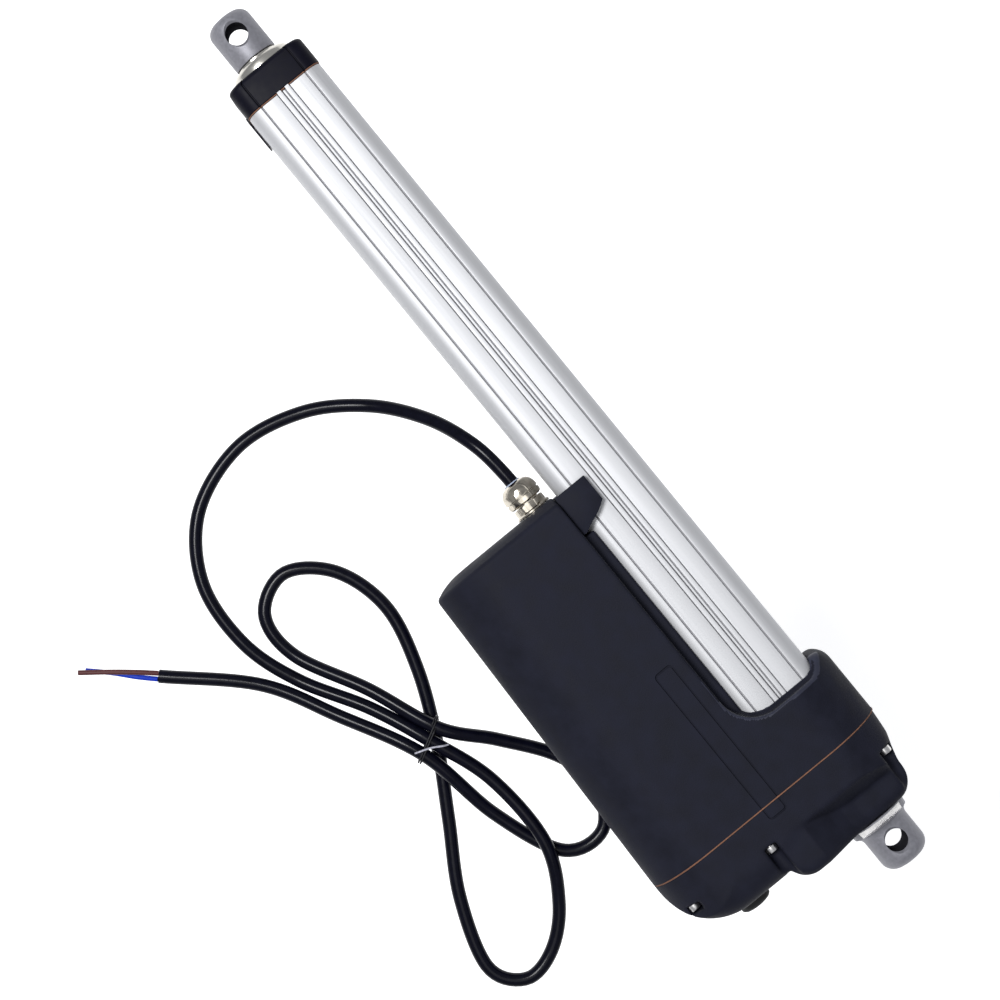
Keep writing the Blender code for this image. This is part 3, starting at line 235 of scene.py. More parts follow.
MATERIALS = {
    "black_paint": surface(
        "powder_coat", (0.0088, 0.0096, 0.0172), 0.66, scale=90.0, tint=0.2, grain=1700.0, bump=0.5,
        specular=0.1),
    # lighter, glossier paint for the collar's rim: its lighter colour is a painted highlight, the
    # sheen on the rounded edge
    "rim_painted_highlight": surface(
        "powder_coat_painted_highlight", (0.022, 0.024, 0.04), 0.5, scale=90.0, tint=0.15, grain=1700.0,
        bump=0.2, specular=0.2),
    "black_plastic": surface(
        "moulded_plastic", (0.003, 0.003, 0.0075), 0.5, scale=120.0, tint=0.2, grain=2200.0,
        bump=0.12, specular=0.09),
    "black_rubber": surface(
        "black_rubber", (0.012, 0.012, 0.013), 0.75, scale=300.0, grain=1200.0, bump=0.3),
    "anodised_tube": surface(
        "anodised", (0.48, 0.485, 0.5), 0.55, 0.45, scale=900.0, stretch=ALONG_TUBE, tint=0.03,
        grain=2600.0, bump=0.1),
    # a darker colour for the faces in the tube's grooves: painted shade
    "groove_painted_shade": surface(
        "anodised_painted_shade", (0.32, 0.32, 0.34), 0.7, 0.2, scale=900.0, stretch=ALONG_TUBE, tint=0.1,
        grain=2600.0, bump=0.1),
    # a dark colour with no specular for the pin holes' walls: painted shade inside the holes
    "bore_painted_shade": surface(
        "pin_hole_painted_shade", (0.025, 0.025, 0.03), 0.95, scale=500.0, tint=0.2, bump=0.2, specular=0.0),
    "grey_steel": surface(
        "grey_coated_steel", (0.21, 0.21, 0.235), 0.5, 0.4, scale=500.0, tint=0.12, grain=2600.0,
        bump=0.22),
    "polished_steel": surface(
        "polished_steel", (0.62, 0.6, 0.55), 0.22, 1.0, scale=60.0, tint=0.15, spread=0.05,
        grain=2400.0, bump=0.01),
    "zinc_steel": surface(
        "zinc_plate", (0.72, 0.71, 0.7), 0.3, 1.0, scale=600.0, tint=0.08, grain=2500.0, bump=0.02),
    "bearing_steel": surface(
        "ground_steel", (0.6, 0.6, 0.61), 0.2, 1.0, scale=900.0, tint=0.05, bump=0.05),
    "nickel": surface(
        "nickel_plate", (0.5, 0.46, 0.39), 0.14, 1.0, scale=260.0, tint=0.3, spread=0.04,
        grain=2400.0, bump=0.01),
    "cast_alloy": surface(
        "cast_alloy", (0.45, 0.45, 0.47), 0.5, 0.9, scale=350.0, tint=0.12, grain=900.0, bump=0.4),
    "plated_can": surface(
        "plated_sheet", (0.52, 0.52, 0.54), 0.3, 0.9, scale=250.0, tint=0.06, bump=0.1),
    "bronze": surface(
        "bronze", (0.5, 0.32, 0.14), 0.3, 1.0, scale=500.0, stretch=ROUND_ROD, tint=0.12, bump=0.1),
    "gasket": surface("gasket_paper", (0.17, 0.075, 0.042), 0.8, scale=800.0, tint=0.25, bump=0.3),
    "white_nylon": surface("nylon", (0.72, 0.7, 0.64), 0.45, scale=200.0, tint=0.05, bump=0.08),
    "seal_rubber": surface("seal_rubber", (0.3, 0.35, 0.45), 0.45, bump=0.1),
    "magnet": surface("ferrite", (0.05, 0.05, 0.052), 0.55, 0.2, scale=700.0, tint=0.2, bump=0.25),
    "circuit_board": surface(
        "solder_mask", (0.015, 0.1, 0.04), 0.3, scale=500.0, tint=0.3, bump=0.1),
    "cable_black": surface(
        "cable_sheath", (0.002, 0.0022, 0.006), 0.22, scale=250.0, tint=0.25, spread=0.03,
        grain=900.0, bump=0.03, specular=0.12),
    "core_brown": surface(
        "brown_insulation", (0.075, 0.024, 0.024), 0.45, scale=600.0, tint=0.15, bump=0.08,
        specular=0.15),
    "core_blue": surface(
        "blue_insulation", (0.006, 0.03, 0.36), 0.45, scale=600.0, tint=0.15, bump=0.08,
        specular=0.15),
    # light colour of the tie's twisted ends: a painted highlight, the glint on the black tie
    "tie_white": surface(
        "tie_ends_painted_glint", (0.36, 0.36, 0.42), 0.4, scale=900.0, tint=0.3, grain=1200.0, bump=0.2,
        specular=0.2),
    "dark_wire": surface(
        "dark_wire", (0.012, 0.012, 0.015), 0.4, scale=900.0, tint=0.2, bump=0.1, specular=0.2),
}


# ---------------- mesh tools

def new_object(name, data):
    """An object with this mesh, curve, lamp or camera, linked to the scene."""
    made = bpy.data.objects.new(name, data)
    bpy.context.scene.collection.objects.link(made)
    return made


def evaluated(mesh, kind, **settings):
    """The mesh after one modifier."""
    holder = new_object("holder", mesh)
    modifier = holder.modifiers.new("change", kind)
    for name, value in settings.items():
        setattr(modifier, name, value)
    shape = holder.evaluated_get(bpy.context.evaluated_depsgraph_get())
    result = bpy.data.meshes.new_from_object(shape)
    bpy.data.objects.remove(holder)
    return result


def mesh_of(bm):
    """The bmesh as a mesh with its normals outwards; the bmesh is used up."""
    bmesh.ops.recalc_face_normals(bm, faces=bm.faces)
    mesh = bpy.data.meshes.new("shape")
    bm.to_mesh(mesh)
    bm.free()
    return mesh


def combined(mesh, tools, operation="DIFFERENCE"):
    """The mesh with each tool, a bmesh, cut out of it or joined to it."""
    for tool in tools:
        cutter = new_object("cutter", mesh_of(tool))
        mesh = evaluated(mesh, "BOOLEAN", operation=operation, object=cutter)
        bpy.data.objects.remove(cutter)
    return mesh


def place_piece(name, shape, node, sharp=35.0, weighted=False):
    """Put a shape in the frame. It stands for the node and rides on the node's body."""
    mesh = shape if isinstance(shape, bpy.types.Mesh) else mesh_of(shape)
    mesh.transform(Matrix.Translation(AXIS) @ Matrix.Scale(MM, 4))
    mesh.shade_smooth()
    mesh.set_sharp_from_angle(angle=math.radians(sharp))
    if weighted:
        mesh = evaluated(mesh, "WEIGHTED_NORMAL", keep_sharp=True)
    mesh.name = name
    piece = new_object(name, mesh)
    stand_for(piece, node)
    return piece


def recoat(piece, slot, chosen):
    """Give another material to the faces that chosen(centre in mm from the axis, normal) picks."""
    piece.data.materials.append(MATERIALS[slot])
    index = len(piece.data.materials) - 1
    for face in piece.data.polygons:
        if chosen((face.center - AXIS) / MM, face.normal):
            face.material_index = index


def stand_for(piece, node):
    """Let the piece take a node's place, with its body, its slot and its slot's material."""
    piece.data.materials.clear()
    piece.data.materials.append(MATERIALS[SLOT_OF[node]])
    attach(piece, BODY_OF[node])
    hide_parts(node)


def arc(centre, radius, start, end, steps):
    """Points on a circular arc, angles in degrees."""
    angles = [math.radians(start + (end - start) * i / steps) for i in range(steps + 1)]
    return [(centre[0] + radius * math.cos(a), centre[1] + radius * math.sin(a)) for a in angles]


def circle(radius, sides, centre=(0.0, 0.0)):
    """A regular polygon's points, close to a circle when it has many sides."""
    return arc(centre, radius, 0.0, 360.0 * (sides - 1) / sides, sides - 1)


def softened(outline, radius, steps=3):
    """A closed outline with its sharp corners rounded."""
    result = []
    for i, point in enumerate(outline):
        here = Vector(point)
        before = Vector(outline[i - 1]) - here
        after = Vector(outline[(i + 1) % len(outline)]) - here
        if math.pi - before.angle(after) < math.radians(30):
            result.append(point)
            continue
        reach = min(radius, before.length * 0.45, after.length * 0.45)
        start = here + before.normalized() * reach
        end = here + after.normalized() * reach
        for step in range(steps + 1):
            t = step / steps
            result.append(tuple(start * (1 - t) ** 2 + here * 2 * t * (1 - t) + end * t * t))
    return result


def loft(rings, close_ends=True):
    """Join outlines of equal point count with quads; the last joins the first if not capped."""
    bm = bmesh.new()
    layers = [[bm.verts.new(point) for point in ring] for ring in rings]
    pairs = list(zip(layers, layers[1:]))
    if not close_ends:
        pairs.append((layers[-1], layers[0]))
    for lower, upper in pairs:
        for i in range(len(lower)):
            j = (i + 1) % len(lower)
            bm.faces.new((lower[i], lower[j], upper[j], upper[i]))
    if close_ends:
        bm.faces.new(layers[0])
        bm.faces.new(layers[-1])
    return bm


def prism_x(outline, x_low, x_high):
    """An outline of (y, z) points, drawn out along X."""
    return loft([[(x, y, z) for y, z in outline] for x in (x_low, x_high)])


def prism_z(outline, z_low, z_high):
    """An outline of (x, y) points, drawn out along Z."""
    return loft([[(x, y, z) for x, y in outline] for z in (z_low, z_high)])


def box(x, y, z):
    """A box between the two values given for each axis."""
    return prism_x([(y[0], z[0]), (y[1], z[0]), (y[1], z[1]), (y[0], z[1])], *x)


def turned(profile, centre=(0.0, 0.0), sides=ROUND, ring=False):
    """A solid of revolution about X from (x, radius) pairs; a ring's profile is closed."""
    rings = [[(x, y, z) for y, z in circle(radius, sides, centre)] for x, radius in profile]
    return loft(rings, close_ends=not ring)


def hexagon(across_flats, centre=(0.0, 0.0)):
    return circle(across_flats / math.sqrt(3), 6, centre)


# ---------------- cable

def smooth_route(points, spacing, lowest):
    """Points at even spacing on a smooth curve through the given ones, none below lowest."""
    points = [Vector(p) for p in points]
    padded = [2 * points[0] - points[1]] + points + [2 * points[-1] - points[-2]]
    fine = []
    steps = 24
    for a, b, c, d in zip(padded, padded[1:], padded[2:], padded[3:]):
        for step in range(steps):
            t = step / steps
            fine.append(0.5 * (2 * b + (c - a) * t + (2 * a - 5 * b + 4 * c - d) * t * t
                               + (3 * b - a - 3 * c + d) * t ** 3))
    fine.append(points[-1])
    result = [fine[0]]
    for point in fine[1:]:
        if (point - result[-1]).length >= spacing:
            result.append(point)
    result[-1] = fine[-1]
    return [Vector((p.x, p.y, max(p.z, lowest))) for p in result]


def cord_piece(name, node, route, radius, spacing):
    """A round cord along a route in metres, as a curve of one open spline."""
    curve = bpy.data.curves.new(name, "CURVE")
    curve.dimensions = "3D"
    curve.bevel_depth = radius * MM
    curve.bevel_resolution = 8
    curve.use_fill_caps = True
    points = smooth_route(route, spacing, radius * MM)
    spline = curve.splines.new("POLY")
    spline.points.add(len(points) - 1)
    for spline_point, point in zip(spline.points, points):
        spline_point.co = (*point, 1.0)
    piece = new_object(name, curve)
    stand_for(piece, node)
    return piece


def swept(bm, path, radius, sides=10):
    """Add a round strand along a path to the bmesh."""
    previous = None
    for i, point in enumerate(path):
        along = (path[min(i + 1, len(path) - 1)] - path[max(i - 1, 0)]).normalized()
        across = along.orthogonal() if previous is None else previous
        across = (across - along * across.dot(along)).normalized()
        previous = across
        other = along.cross(across)
        ring = [bm.verts.new(point + radius * (across * math.cos(a) + other * math.sin(a)))
                for a in (2 * math.pi * k / sides for k in range(sides))]
        if i:
            for k in range(sides):
                j = (k + 1) % sides
                bm.faces.new((last[k], last[j], ring[j], ring[k]))
        else:
            bm.faces.new(ring)
        last = ring
    bm.faces.new(last)


def tie_winding():
    """The path of a wire wound twice round the flat bundle, in mm from the tie's middle."""
    half_y, half_z, turns, steps = 14.1, 5.2, 2.0, 60
    blunt_y, blunt_z = 0.55, 0.45       # powers that square off an ellipse
    path = []
    for i in range(steps + 1):
        part = i / steps
        angle = math.pi * (0.62 + 2 * turns * part)
        cos, sin = math.cos(angle), math.sin(angle)
        y = half_y * math.copysign(abs(cos) ** blunt_y, cos)
        z = half_z * math.copysign(abs(sin) ** blunt_z, sin)
        path.append(Vector((3.2 - 2.6 * part - 0.12 * y, y, z)))
    return path


def tie_strand(phase):
    """One of the tie's two ends, which twist round each other over the bundle."""
    middle_line = smooth_route(((4.6, 9.8, 5.3), (2.4, 7.2, 5.9), (-1.0, 3.4, 6.0),
                                (-4.6, 0.4, 5.9), (-7.4, -1.6, 5.0), (-9.4, -3.4, 3.0)),
                               spacing=0.4, lowest=0.0)
    twist, across, upwards = 0.32, 0.25, 0.35
    path = []
    for i, point in enumerate(middle_line):
        turn = phase + twist * i
        path.append(point + Vector((across * math.cos(turn), across * math.cos(turn),
                                    upwards * math.sin(turn))))
    return path


def wire_tie():
    """A thin dark wire wound round the bundle, with ends painted light: a painted highlight on the
    black tie.
    """
    wire_radius, end_radius = 0.45, 0.55
    bm = bmesh.new()
    swept(bm, tie_winding(), wire_radius)
    wound_faces = len(bm.faces)
    for phase in (0.0, math.pi):
        swept(bm, tie_strand(phase), end_radius)
    place = Matrix.Translation(TIE_PLACE) @ Matrix.Rotation(TIE_TURN, 4, "Z")
    bm.transform(place @ Matrix.Scale(MM, 4))
    mesh = mesh_of(bm)
    mesh.shade_smooth()
    piece = new_object("wire_tie", mesh)
    stand_for(piece, "cable_tie")
    mesh.materials.append(MATERIALS["dark_wire"])
    for face in mesh.polygons[:wound_faces]:
        face.material_index = 1
    return piece


def make_cable():
    """The cable as one cord, with its two bare cores and its tie."""
    sheath_spacing, core_spacing = 0.0025, 0.001
    sheath = cord_piece("cable_outer", "cable_sheath", CABLE_ROUTE, CABLE_RADIUS, sheath_spacing)
    brown = cord_piece("brown_core", "core_brown", BROWN_ROUTE, CORE_RADIUS, core_spacing)
    blue = cord_piece("blue_core", "core_blue", BLUE_ROUTE, CORE_RADIUS, core_spacing)
    wire_tie()


# ---------------- fields and their skins

def smooth_max(a, b, k):
    """The larger of two fields, with the edge between them rounded over k."""
    overlap = np.maximum(k - np.abs(a - b), 0.0) / k
    return np.maximum(a, b) + overlap * overlap * k / 4


def smooth_min(a, b, k):
    return -smooth_max(-a, -b, k)


def cut(body, hole, k=0.01):
    """The body without the hole, with the hole's rim rounded over k."""
    return smooth_max(body, -hole, k)


def eased(value, low, high):
    """0 below low and 1 above high, with a smooth rise between them."""
    share = np.clip((value - low) / (high - low), 0.0, 1.0)
    return share * share * (3 - 2 * share)


def box_field(x, y, z, x_span, y_span, z_span):
    """A field that is negative inside a box."""
    sides = [np.maximum(low - v, v - high)
             for v, (low, high) in ((x, x_span), (y, y_span), (z, z_span))]
    return np.maximum(np.maximum(sides[0], sides[1]), sides[2])


def corner_field(along, across, radius):
    """Negative where both distances are, with the corner between them rounded."""
    a, b = along + radius, across + radius
    outside = np.hypot(np.maximum(a, 0.0), np.maximum(b, 0.0))
    return np.minimum(np.maximum(a, b), 0.0) + outside - radius


def bore_field(x, y, z, x_span, radius, centre=(0.0, 0.0)):
    """Negative inside a round bore along X."""
    around = np.hypot(y - centre[0], z - centre[1]) - radius
    return np.maximum(around, np.maximum(x_span[0] - x, x - x_span[1]))


def skin(field_of, low, high, step):
    """A mesh round the region where a field is negative.

    Each grid edge where the field changes sign gives a quad between the four cells round it,
    and each cell's vertex is the mean of the crossings on its edges.
    """
    axes = [np.arange(a - 2 * step, b + 3 * step, step) for a, b in zip(low, high)]
    start = np.array([axis[0] for axis in axes])
    field = field_of(*np.meshgrid(*axes, indexing="ij"))
    inner = np.zeros(field.shape, bool)
    inner[1:-1, 1:-1, 1:-1] = True
    field = np.where(inner, field, np.maximum(field, step))
    cells = [n - 1 for n in field.shape]
    total = np.zeros((*cells, 3))
    count = np.zeros(cells)
    quads = []
    for axis in range(3):
        near = np.take(field, range(cells[axis]), axis)
        far = np.take(field, range(1, cells[axis] + 1), axis)
        crossing = (near < 0) != (far < 0)
        place = np.argwhere(crossing)
        point = place.astype(float)
        point[:, axis] += near[crossing] / (near[crossing] - far[crossing])
        u, v = (axis + 1) % 3, (axis + 2) % 3
        ring = []
        for step_u, step_v in ((0, 0), (-1, 0), (-1, -1), (0, -1)):
            cell = place.copy()
            cell[:, u] += step_u
            cell[:, v] += step_v
            np.add.at(total, tuple(cell.T), point)
            np.add.at(count, tuple(cell.T), 1)
            ring.append(cell)
        quads.append(ring)
    used = count > 0
    index = np.full(count.shape, -1)
    index[used] = np.arange(used.sum())
    vertices = total[used] / count[used][:, None] * step + start
    faces = np.concatenate([np.stack([index[tuple(cell.T)] for cell in ring], axis=1)
                            for ring in quads])
    mesh = bpy.data.meshes.new("skin")
    mesh.from_pydata(vertices.tolist(), [], faces.tolist())
    return mesh


def sliced(mesh, x, side):
    """The mesh cut flat at x, without what lies on that side (1 or -1) of it."""
    bm = bmesh.new()
    bm.from_mesh(mesh)
    made = bmesh.ops.bisect_plane(bm, geom=bm.verts[:] + bm.edges[:] + bm.faces[:],
                                  plane_co=(x, 0, 0), plane_no=(side, 0, 0), clear_outer=True)
    rim = [e for e in made["geom_cut"] if isinstance(e, bmesh.types.BMEdge)]
    bmesh.ops.triangle_fill(bm, use_beauty=True, edges=rim)
    return mesh_of(bm)


# ---------------- castings

CAST_STEP = 0.9
KEPT_FACES = 0.3                # share of a casting's faces that are left when it is thinned
SIDE_TAPER = 7.0                # how far the motor side comes in from seam to front
COVER_SCREWS = [tuple(middle(f"cover_screw_{i + 1}").yz) for i in range(6)]
CLIP_X = span("tube_clip")[0].x
TONGUE_X = -178.3               # the collar's front at mid height
TUBE_STOP_X = -207.0            # the end of the tube's socket
MOTOR_ROOM_X = -24.0            # the front end of the motor's room
GEAR_ROOM_X = -206.2            # and of the gears' room
SCREW_SEAT_X = -243.9
COVER_REAR_X = -264.6           # the cover's rear wall behind the motor
MOTOR_END_ROUND = 36.0          # its corner in plan, on the motor side


def side_centre(x):
    """Y of the round motor side's centre, which comes in towards the front."""
    part = np.clip((x - SEAM_X) / (FRONT_X - SEAM_X), 0.0, 1.0)
    return HOUSING[1].y - HALF_H - SIDE_TAPER * part


def body_field(x, y, z, inset=0.0):
    """The cast body's section: flat top and bottom, round sides."""
    motor_side = np.hypot(np.maximum(y - side_centre(x), 0.0), z)
    tube_side = np.hypot(np.minimum(y, 0.0) * HALF_H / -HOUSING[0].y, z)
    return np.maximum(motor_side, tube_side) - HALF_H + inset


def screw_holes_field(x, y, z, x_span):
    """Negative inside the holes of the cover's screws."""
    holes = [bore_field(x, y, z, x_span, CHANNEL_RADIUS, place) for place in COVER_SCREWS]
    return np.minimum.reduce(holes)


def mouth_field(x, y, z):
    """Negative where the tube runs clear beside the motor, in front of the collar.

    The collar's edge has a tongue at mid height and is set back above and below it.
    """
    wall_y, corner = 27.8, 22.0
    set_back, tongue_z, set_back_z = 9.4, 16.0, 31.0
    edge_x = TONGUE_X - set_back * eased(np.abs(z), tongue_z, set_back_z)
    return corner_field(edge_x - x, y - wall_y, corner)


def housing_shape_field(x, y, z):
    """The cast body from outside, with the tube's side bare in front of its collar."""
    body = body_field(x, y, z)
    slope, rim = 0.4, 11.5      # the front face falls back towards its rim
    dished = (x - FRONT_X + slope * (body + rim)) / math.hypot(1.0, slope)
    body = smooth_max(body, smooth_max(dished, x - FRONT_X, 3.0), 2.4)
    collar_y, collar_round = -37.4, 11.0
    collar = corner_field(x - TONGUE_X, collar_y - y, collar_round)
    body = smooth_max(body, np.where(y < 0, collar, -50.0), 3.0)
    body = cut(body, mouth_field(x, y, z), 2.0)
    reach = HALF_TUBE + 1.1     # of the cheek that hugs the tube's side, up and down
    cheek = box_field(x, y, z, (-186.0, CLIP_X - 1.0), (21.6, 30.0), (-reach, reach))
    return smooth_min(body, cheek, 0.6)


def housing_field(x, y, z):
    """The cast body with its socket for the tube and its rooms for motor, gears and leads."""
    body = housing_shape_field(x, y, z)
    socket_half, socket_round = HALF_TUBE + 0.3, 8.6
    socket = corner_field(np.abs(y) - socket_half, np.abs(z) - socket_half, socket_round)
    body = cut(body, np.maximum(socket, TUBE_STOP_X - x), 1.0)
    motor_room, gear_wall, lead_gap = 29.3, 8.0, 17.0
    body = cut(body, bore_field(x, y, z, (TUBE_STOP_X, MOTOR_ROOM_X), motor_room, (MOTOR_Y, 0.0)))
    body = cut(body, np.maximum(body_field(x, y, z, gear_wall), x - GEAR_ROOM_X))
    body = cut(body, box_field(x, y, z, (-110.0, MOTOR_ROOM_X), (32.0, 62.0),
                               (-lead_gap, lead_gap)))
    body = cut(body, bore_field(x, y, z, (-30.0, -10.0), 8.0, (GLAND_Y, 0.0)))
    return cut(body, screw_holes_field(x, y, z, (SEAM_X - 20.0, -212.0)))


def pocket_field(x, y, z, place):
    """A round-bottomed slot along X from a screw's seat to the rear, open outwards.

    On the motor's side it is short, so the cover's round end stays whole.
    """
    radius, short = 3.9, 5.0
    y_0, z_0 = place
    rise = (z - z_0) * math.copysign(1.0, z_0)
    round_bottom = np.hypot(y - y_0, np.minimum(rise, 0.0)) - radius
    slot = np.where(rise > 0, np.abs(y - y_0) - radius, round_bottom)
    slot = np.maximum(slot, x - SCREW_SEAT_X)
    return np.maximum(slot, SCREW_SEAT_X - short - x) if y_0 > MOTOR_Y else slot


def cover_main_field(x, y, z):
    """The cover without its boss: a slope behind the tube and a round motor end."""
    height = np.abs(z)
    slope_x, run = -246.0, 0.65         # the slope's top edge, and its run for each unit of fall
    slope = (slope_x - run * (HALF_H - height) - x) / math.hypot(1.0, run)
    end_y = 60.0                        # from here on the motor end has its full length
    rear = np.interp(y, (34.0, 44.0, 52.0, end_y), (-252.0, -260.0, -263.6, COVER_REAR_X)) - x
    motor_end = np.where(y < end_y, rear, corner_field(rear, y - HOUSING[1].y, MOTOR_END_ROUND))
    share = eased(y, 33.0, 47.0)
    wall = slope * (1 - share) + motor_end * share
    sharp, soft = 1.6, 20.0             # rounding of the top edge at the tube and at the motor
    edge = smooth_max(height - HALF_H, wall, sharp + (soft - sharp) * share)
    main = np.maximum(body_field(x, y, z), edge)
    side_y = np.interp(x, (-256.0, -247.0, -240.0, -225.0), (-28.4, -31.4, -34.9, -37.6))
    return smooth_max(main, side_y - y, 5.0)


def boss_field(x, y, z):
    """The lower boss that carries the rear eye, its top rising towards the motor."""
    rear_x, front_x, side_y, motor_y = COVER[0].x, -240.0, -28.6, 57.0
    plan = np.maximum(corner_field(rear_x - x, side_y - y, 13.0),
                      corner_field(rear_x - x, y - motor_y, 14.0))
    top = np.interp(y, (-30.0, 6.0, 14.0, 21.0, 29.0, 36.0), (21.5, 22.8, 24.6, 28.0, 33.0, 36.8))
    return smooth_max(smooth_max(plan, (np.abs(z) - top) * 0.9, 8.0), x - front_x, 2.0)


def cover_field(x, y, z):
    """The gear cover: its outside shape less its rooms for screws, gears, eye and hand drive."""
    body = body_field(x, y, z)
    outside = smooth_min(cover_main_field(x, y, z), boss_field(x, y, z), 1.6)
    body = np.maximum(outside, body)
    for place in COVER_SCREWS:
        body = cut(body, pocket_field(x, y, z, place), 1.6)
    gear_end_x, gear_spare = -243.3, 0.8
    for node, y_gear in (("screw_gear", 0.0), ("idler_gear", IDLER_Y), ("motor_pinion", MOTOR_Y)):
        low, high = span(node)
        room = (high.z - low.z) / 2 + gear_spare
        body = cut(body, bore_field(x, y, z, (gear_end_x, -220.0), room, (y_gear, 0.0)))
    eye_nut, eye_shank = ((-266.0, -240.0), 13.2, 0.0), ((-285.0, -260.0), 9.3, 0.0)
    idler_pin, hand_drive = ((-249.5, -240.0), 4.3, IDLER_Y), ((-285.0, -240.0), 6.5, MOTOR_Y)
    for x_span, radius, y_hole in (eye_nut, eye_shank, idler_pin, hand_drive):
        body = cut(body, bore_field(x, y, z, x_span, radius, (y_hole, 0.0)))
    return cut(body, screw_holes_field(x, y, z, (-245.0, -215.0)))


def groove_tool():
    """A cutter for the thin outline let into the top, across the seam."""
    line, depth, corner = 0.6, 1.4, 2.2
    x_low, x_high, y_low, y_high = -233.0, -131.8, 36.1, 47.1
    rings = []
    for reach, levels in ((line, (HALF_H - depth, HALF_H + 1)),
                          (-line, (HALF_H + 1, HALF_H - depth))):
        radius = corner + reach
        outline = []
        for turn, (x, y) in enumerate(((x_high, y_high), (x_low, y_high), (x_low, y_low),
                                       (x_high, y_low))):
            centre = (x - corner if x == x_high else x + corner,
                      y - corner if y == y_high else y + corner)
            outline += arc(centre, radius, 90 * turn, 90 * turn + 90, 6)
        rings += [[(x, y, z) for x, y in outline] for z in levels]
    return loft(rings, close_ends=False)


def casting(name, node, field_of, low, high, seam_x, side):
    """A casting from its field, cut flat at the seam, with its share of the top's outline."""
    mesh = sliced(skin(field_of, low, high, CAST_STEP), seam_x, side)
    mesh = evaluated(mesh, "DECIMATE", ratio=KEPT_FACES)
    mesh = combined(mesh, [groove_tool()])
    return place_piece(name, mesh, node, sharp=55.0, weighted=True)


def on_collar_rim(at, normal):
    """Whether a face of the body lies on the collar's rounded edge, above or below the tube."""
    near = at.x < -150.0 and abs(at.z) > 15.0 and abs(normal.z) < 0.985
    return near and 0.02 < mouth_field(at.x, at.y, at.z) < 1.9


def make_castings():
    """The cast body and its cover, each a little long at the seam until it is cut there."""
    spare = 4.0
    body = casting("motor_body", "motor_housing", housing_field,
                   (SEAM_X - spare, HOUSING[0].y, -HALF_H), (FRONT_X, HOUSING[1].y, HALF_H),
                   SEAM_X, -1)
    # the faces on the collar's rim take the lighter paint, a painted highlight
    recoat(body, "rim_painted_highlight", on_collar_rim)
    casting("gear_cover", "rear_cover", cover_field, (COVER[0].x, HOUSING[0].y, -HALF_H),
            (COVER[1].x + spare, HOUSING[1].y, HALF_H), COVER[1].x, 1)


def make_seam_gasket():
    """A thin frame between cover and body, a little inside their outline."""
    gap, outer, inner, steps = 0.15, 0.3, 2.2, 48
    low_x, high_x = COVER[1].x + gap, SEAM_X - gap
    rings = []
    for x, inset in ((low_x, inner), (low_x, outer), (high_x, outer), (high_x, inner)):
        outline = arc((side_centre(SEAM_X), 0.0), HALF_H - inset, -90, 90, steps)
        outline += [(y * -HOUSING[0].y / HALF_H, z)
                    for y, z in arc((0.0, 0.0), HALF_H - inset, 90, 270, steps)]
        rings.append([(x, y, z) for y, z in outline])
    place_piece("seam_gasket", loft(rings, close_ends=False), "cover_gasket")


def make_clip():
    """A clip between housing and tube, with a tab over the tube above and below."""
    low, high = span("tube_clip")
    inner_z, reach_y, web_y = 25.3, low.y, 25.3
    section = [(web_y, -inner_z), (web_y, inner_z), (reach_y, inner_z), (reach_y, high.z)]
    section += [(high.y, high.z), (high.y, low.z), (reach_y, low.z), (reach_y, -inner_z)]
    clip = mesh_of(prism_x(section, low.x, high.x))
    plan = [(high.x, 30.0), (high.x, 5.0), (-37.9, 5.0), (-37.9, reach_y), (-40.0, 9.8)]
    plan += [(-42.0, 13.3), (-43.6, 17.5), (-45.4, 22.0), (-47.0, 25.0), (-47.2, 30.0)]
    clip = combined(clip, [prism_z(softened(plan, 0.8), -40, 40)], "INTERSECT")
    clip = evaluated(clip, "BEVEL", width=0.5, segments=2, limit_method="ANGLE",
                     angle_limit=math.radians(50))
    place_piece("clip", clip, "tube_clip", 40.0)


# ---------------- tube and cap

def tube_outline(grow=0.0, slots=True):
    """The extrusion's section: round corner lobes, grooves, and ribs by a centre slot."""
    half = HALF_TUBE + grow
    lobe_radius, groove_depth, groove = 9.0, 1.9, 1.0
    lobe = half - lobe_radius
    quarter = [(0.0, half)]
    if slots:
        floor, floor_depth, slot, slot_depth = 0.65, 1.0, 1.35, 2.6
        rib, rib_gap = 4.1, 0.5
        quarter = [(0.0, half - floor_depth), (floor, half - floor_depth)]
        quarter += [(floor, half - slot_depth), (slot, half - slot_depth), (slot, half)]
        quarter += [(rib, half), (rib, half - groove_depth)]
        quarter += [(rib + rib_gap, half - groove_depth), (rib + rib_gap, half)]
    quarter += [(lobe - groove, half), (lobe - groove, half - groove_depth)]
    quarter += [(lobe, half - groove_depth)]
    quarter += arc((lobe, lobe), lobe_radius, 90, 0, 16)
    quarter += [(half - groove_depth, lobe), (half - groove_depth, lobe - groove)]
    quarter += [(half, lobe - groove)]
    right = quarter + [(y, -z) for y, z in reversed(quarter)]
    left = [(-y, z) for y, z in reversed(right)][1:-1]
    return softened(right + left, 0.25)


def in_corner_channels(profile, sides=FEW_SIDES):
    """A round cutter in each of the tube's four corner channels, which take the cap's screws."""
    return [turned(profile, tuple(middle(f"cap_screw_{i + 1}").yz), sides) for i in range(4)]


RIB_SPARE = 0.3                 # room round the rib tips in the cap and its gasket


def rib_tips(spare=0.0):
    """The tips of the two top and two bottom ribs, where they enter the cap."""
    length, inner, outer, foot, top = 6.6, 1.5, 3.95, 23.9, 24.95
    return [box((TUBE[1].x - length - spare, TUBE[1].x + spare),
                sorted((side * (inner - spare), side * (outer + spare))),
                sorted((face * (foot - spare), face * (top + spare))))
            for side in (-1, 1) for face in (-1, 1)]


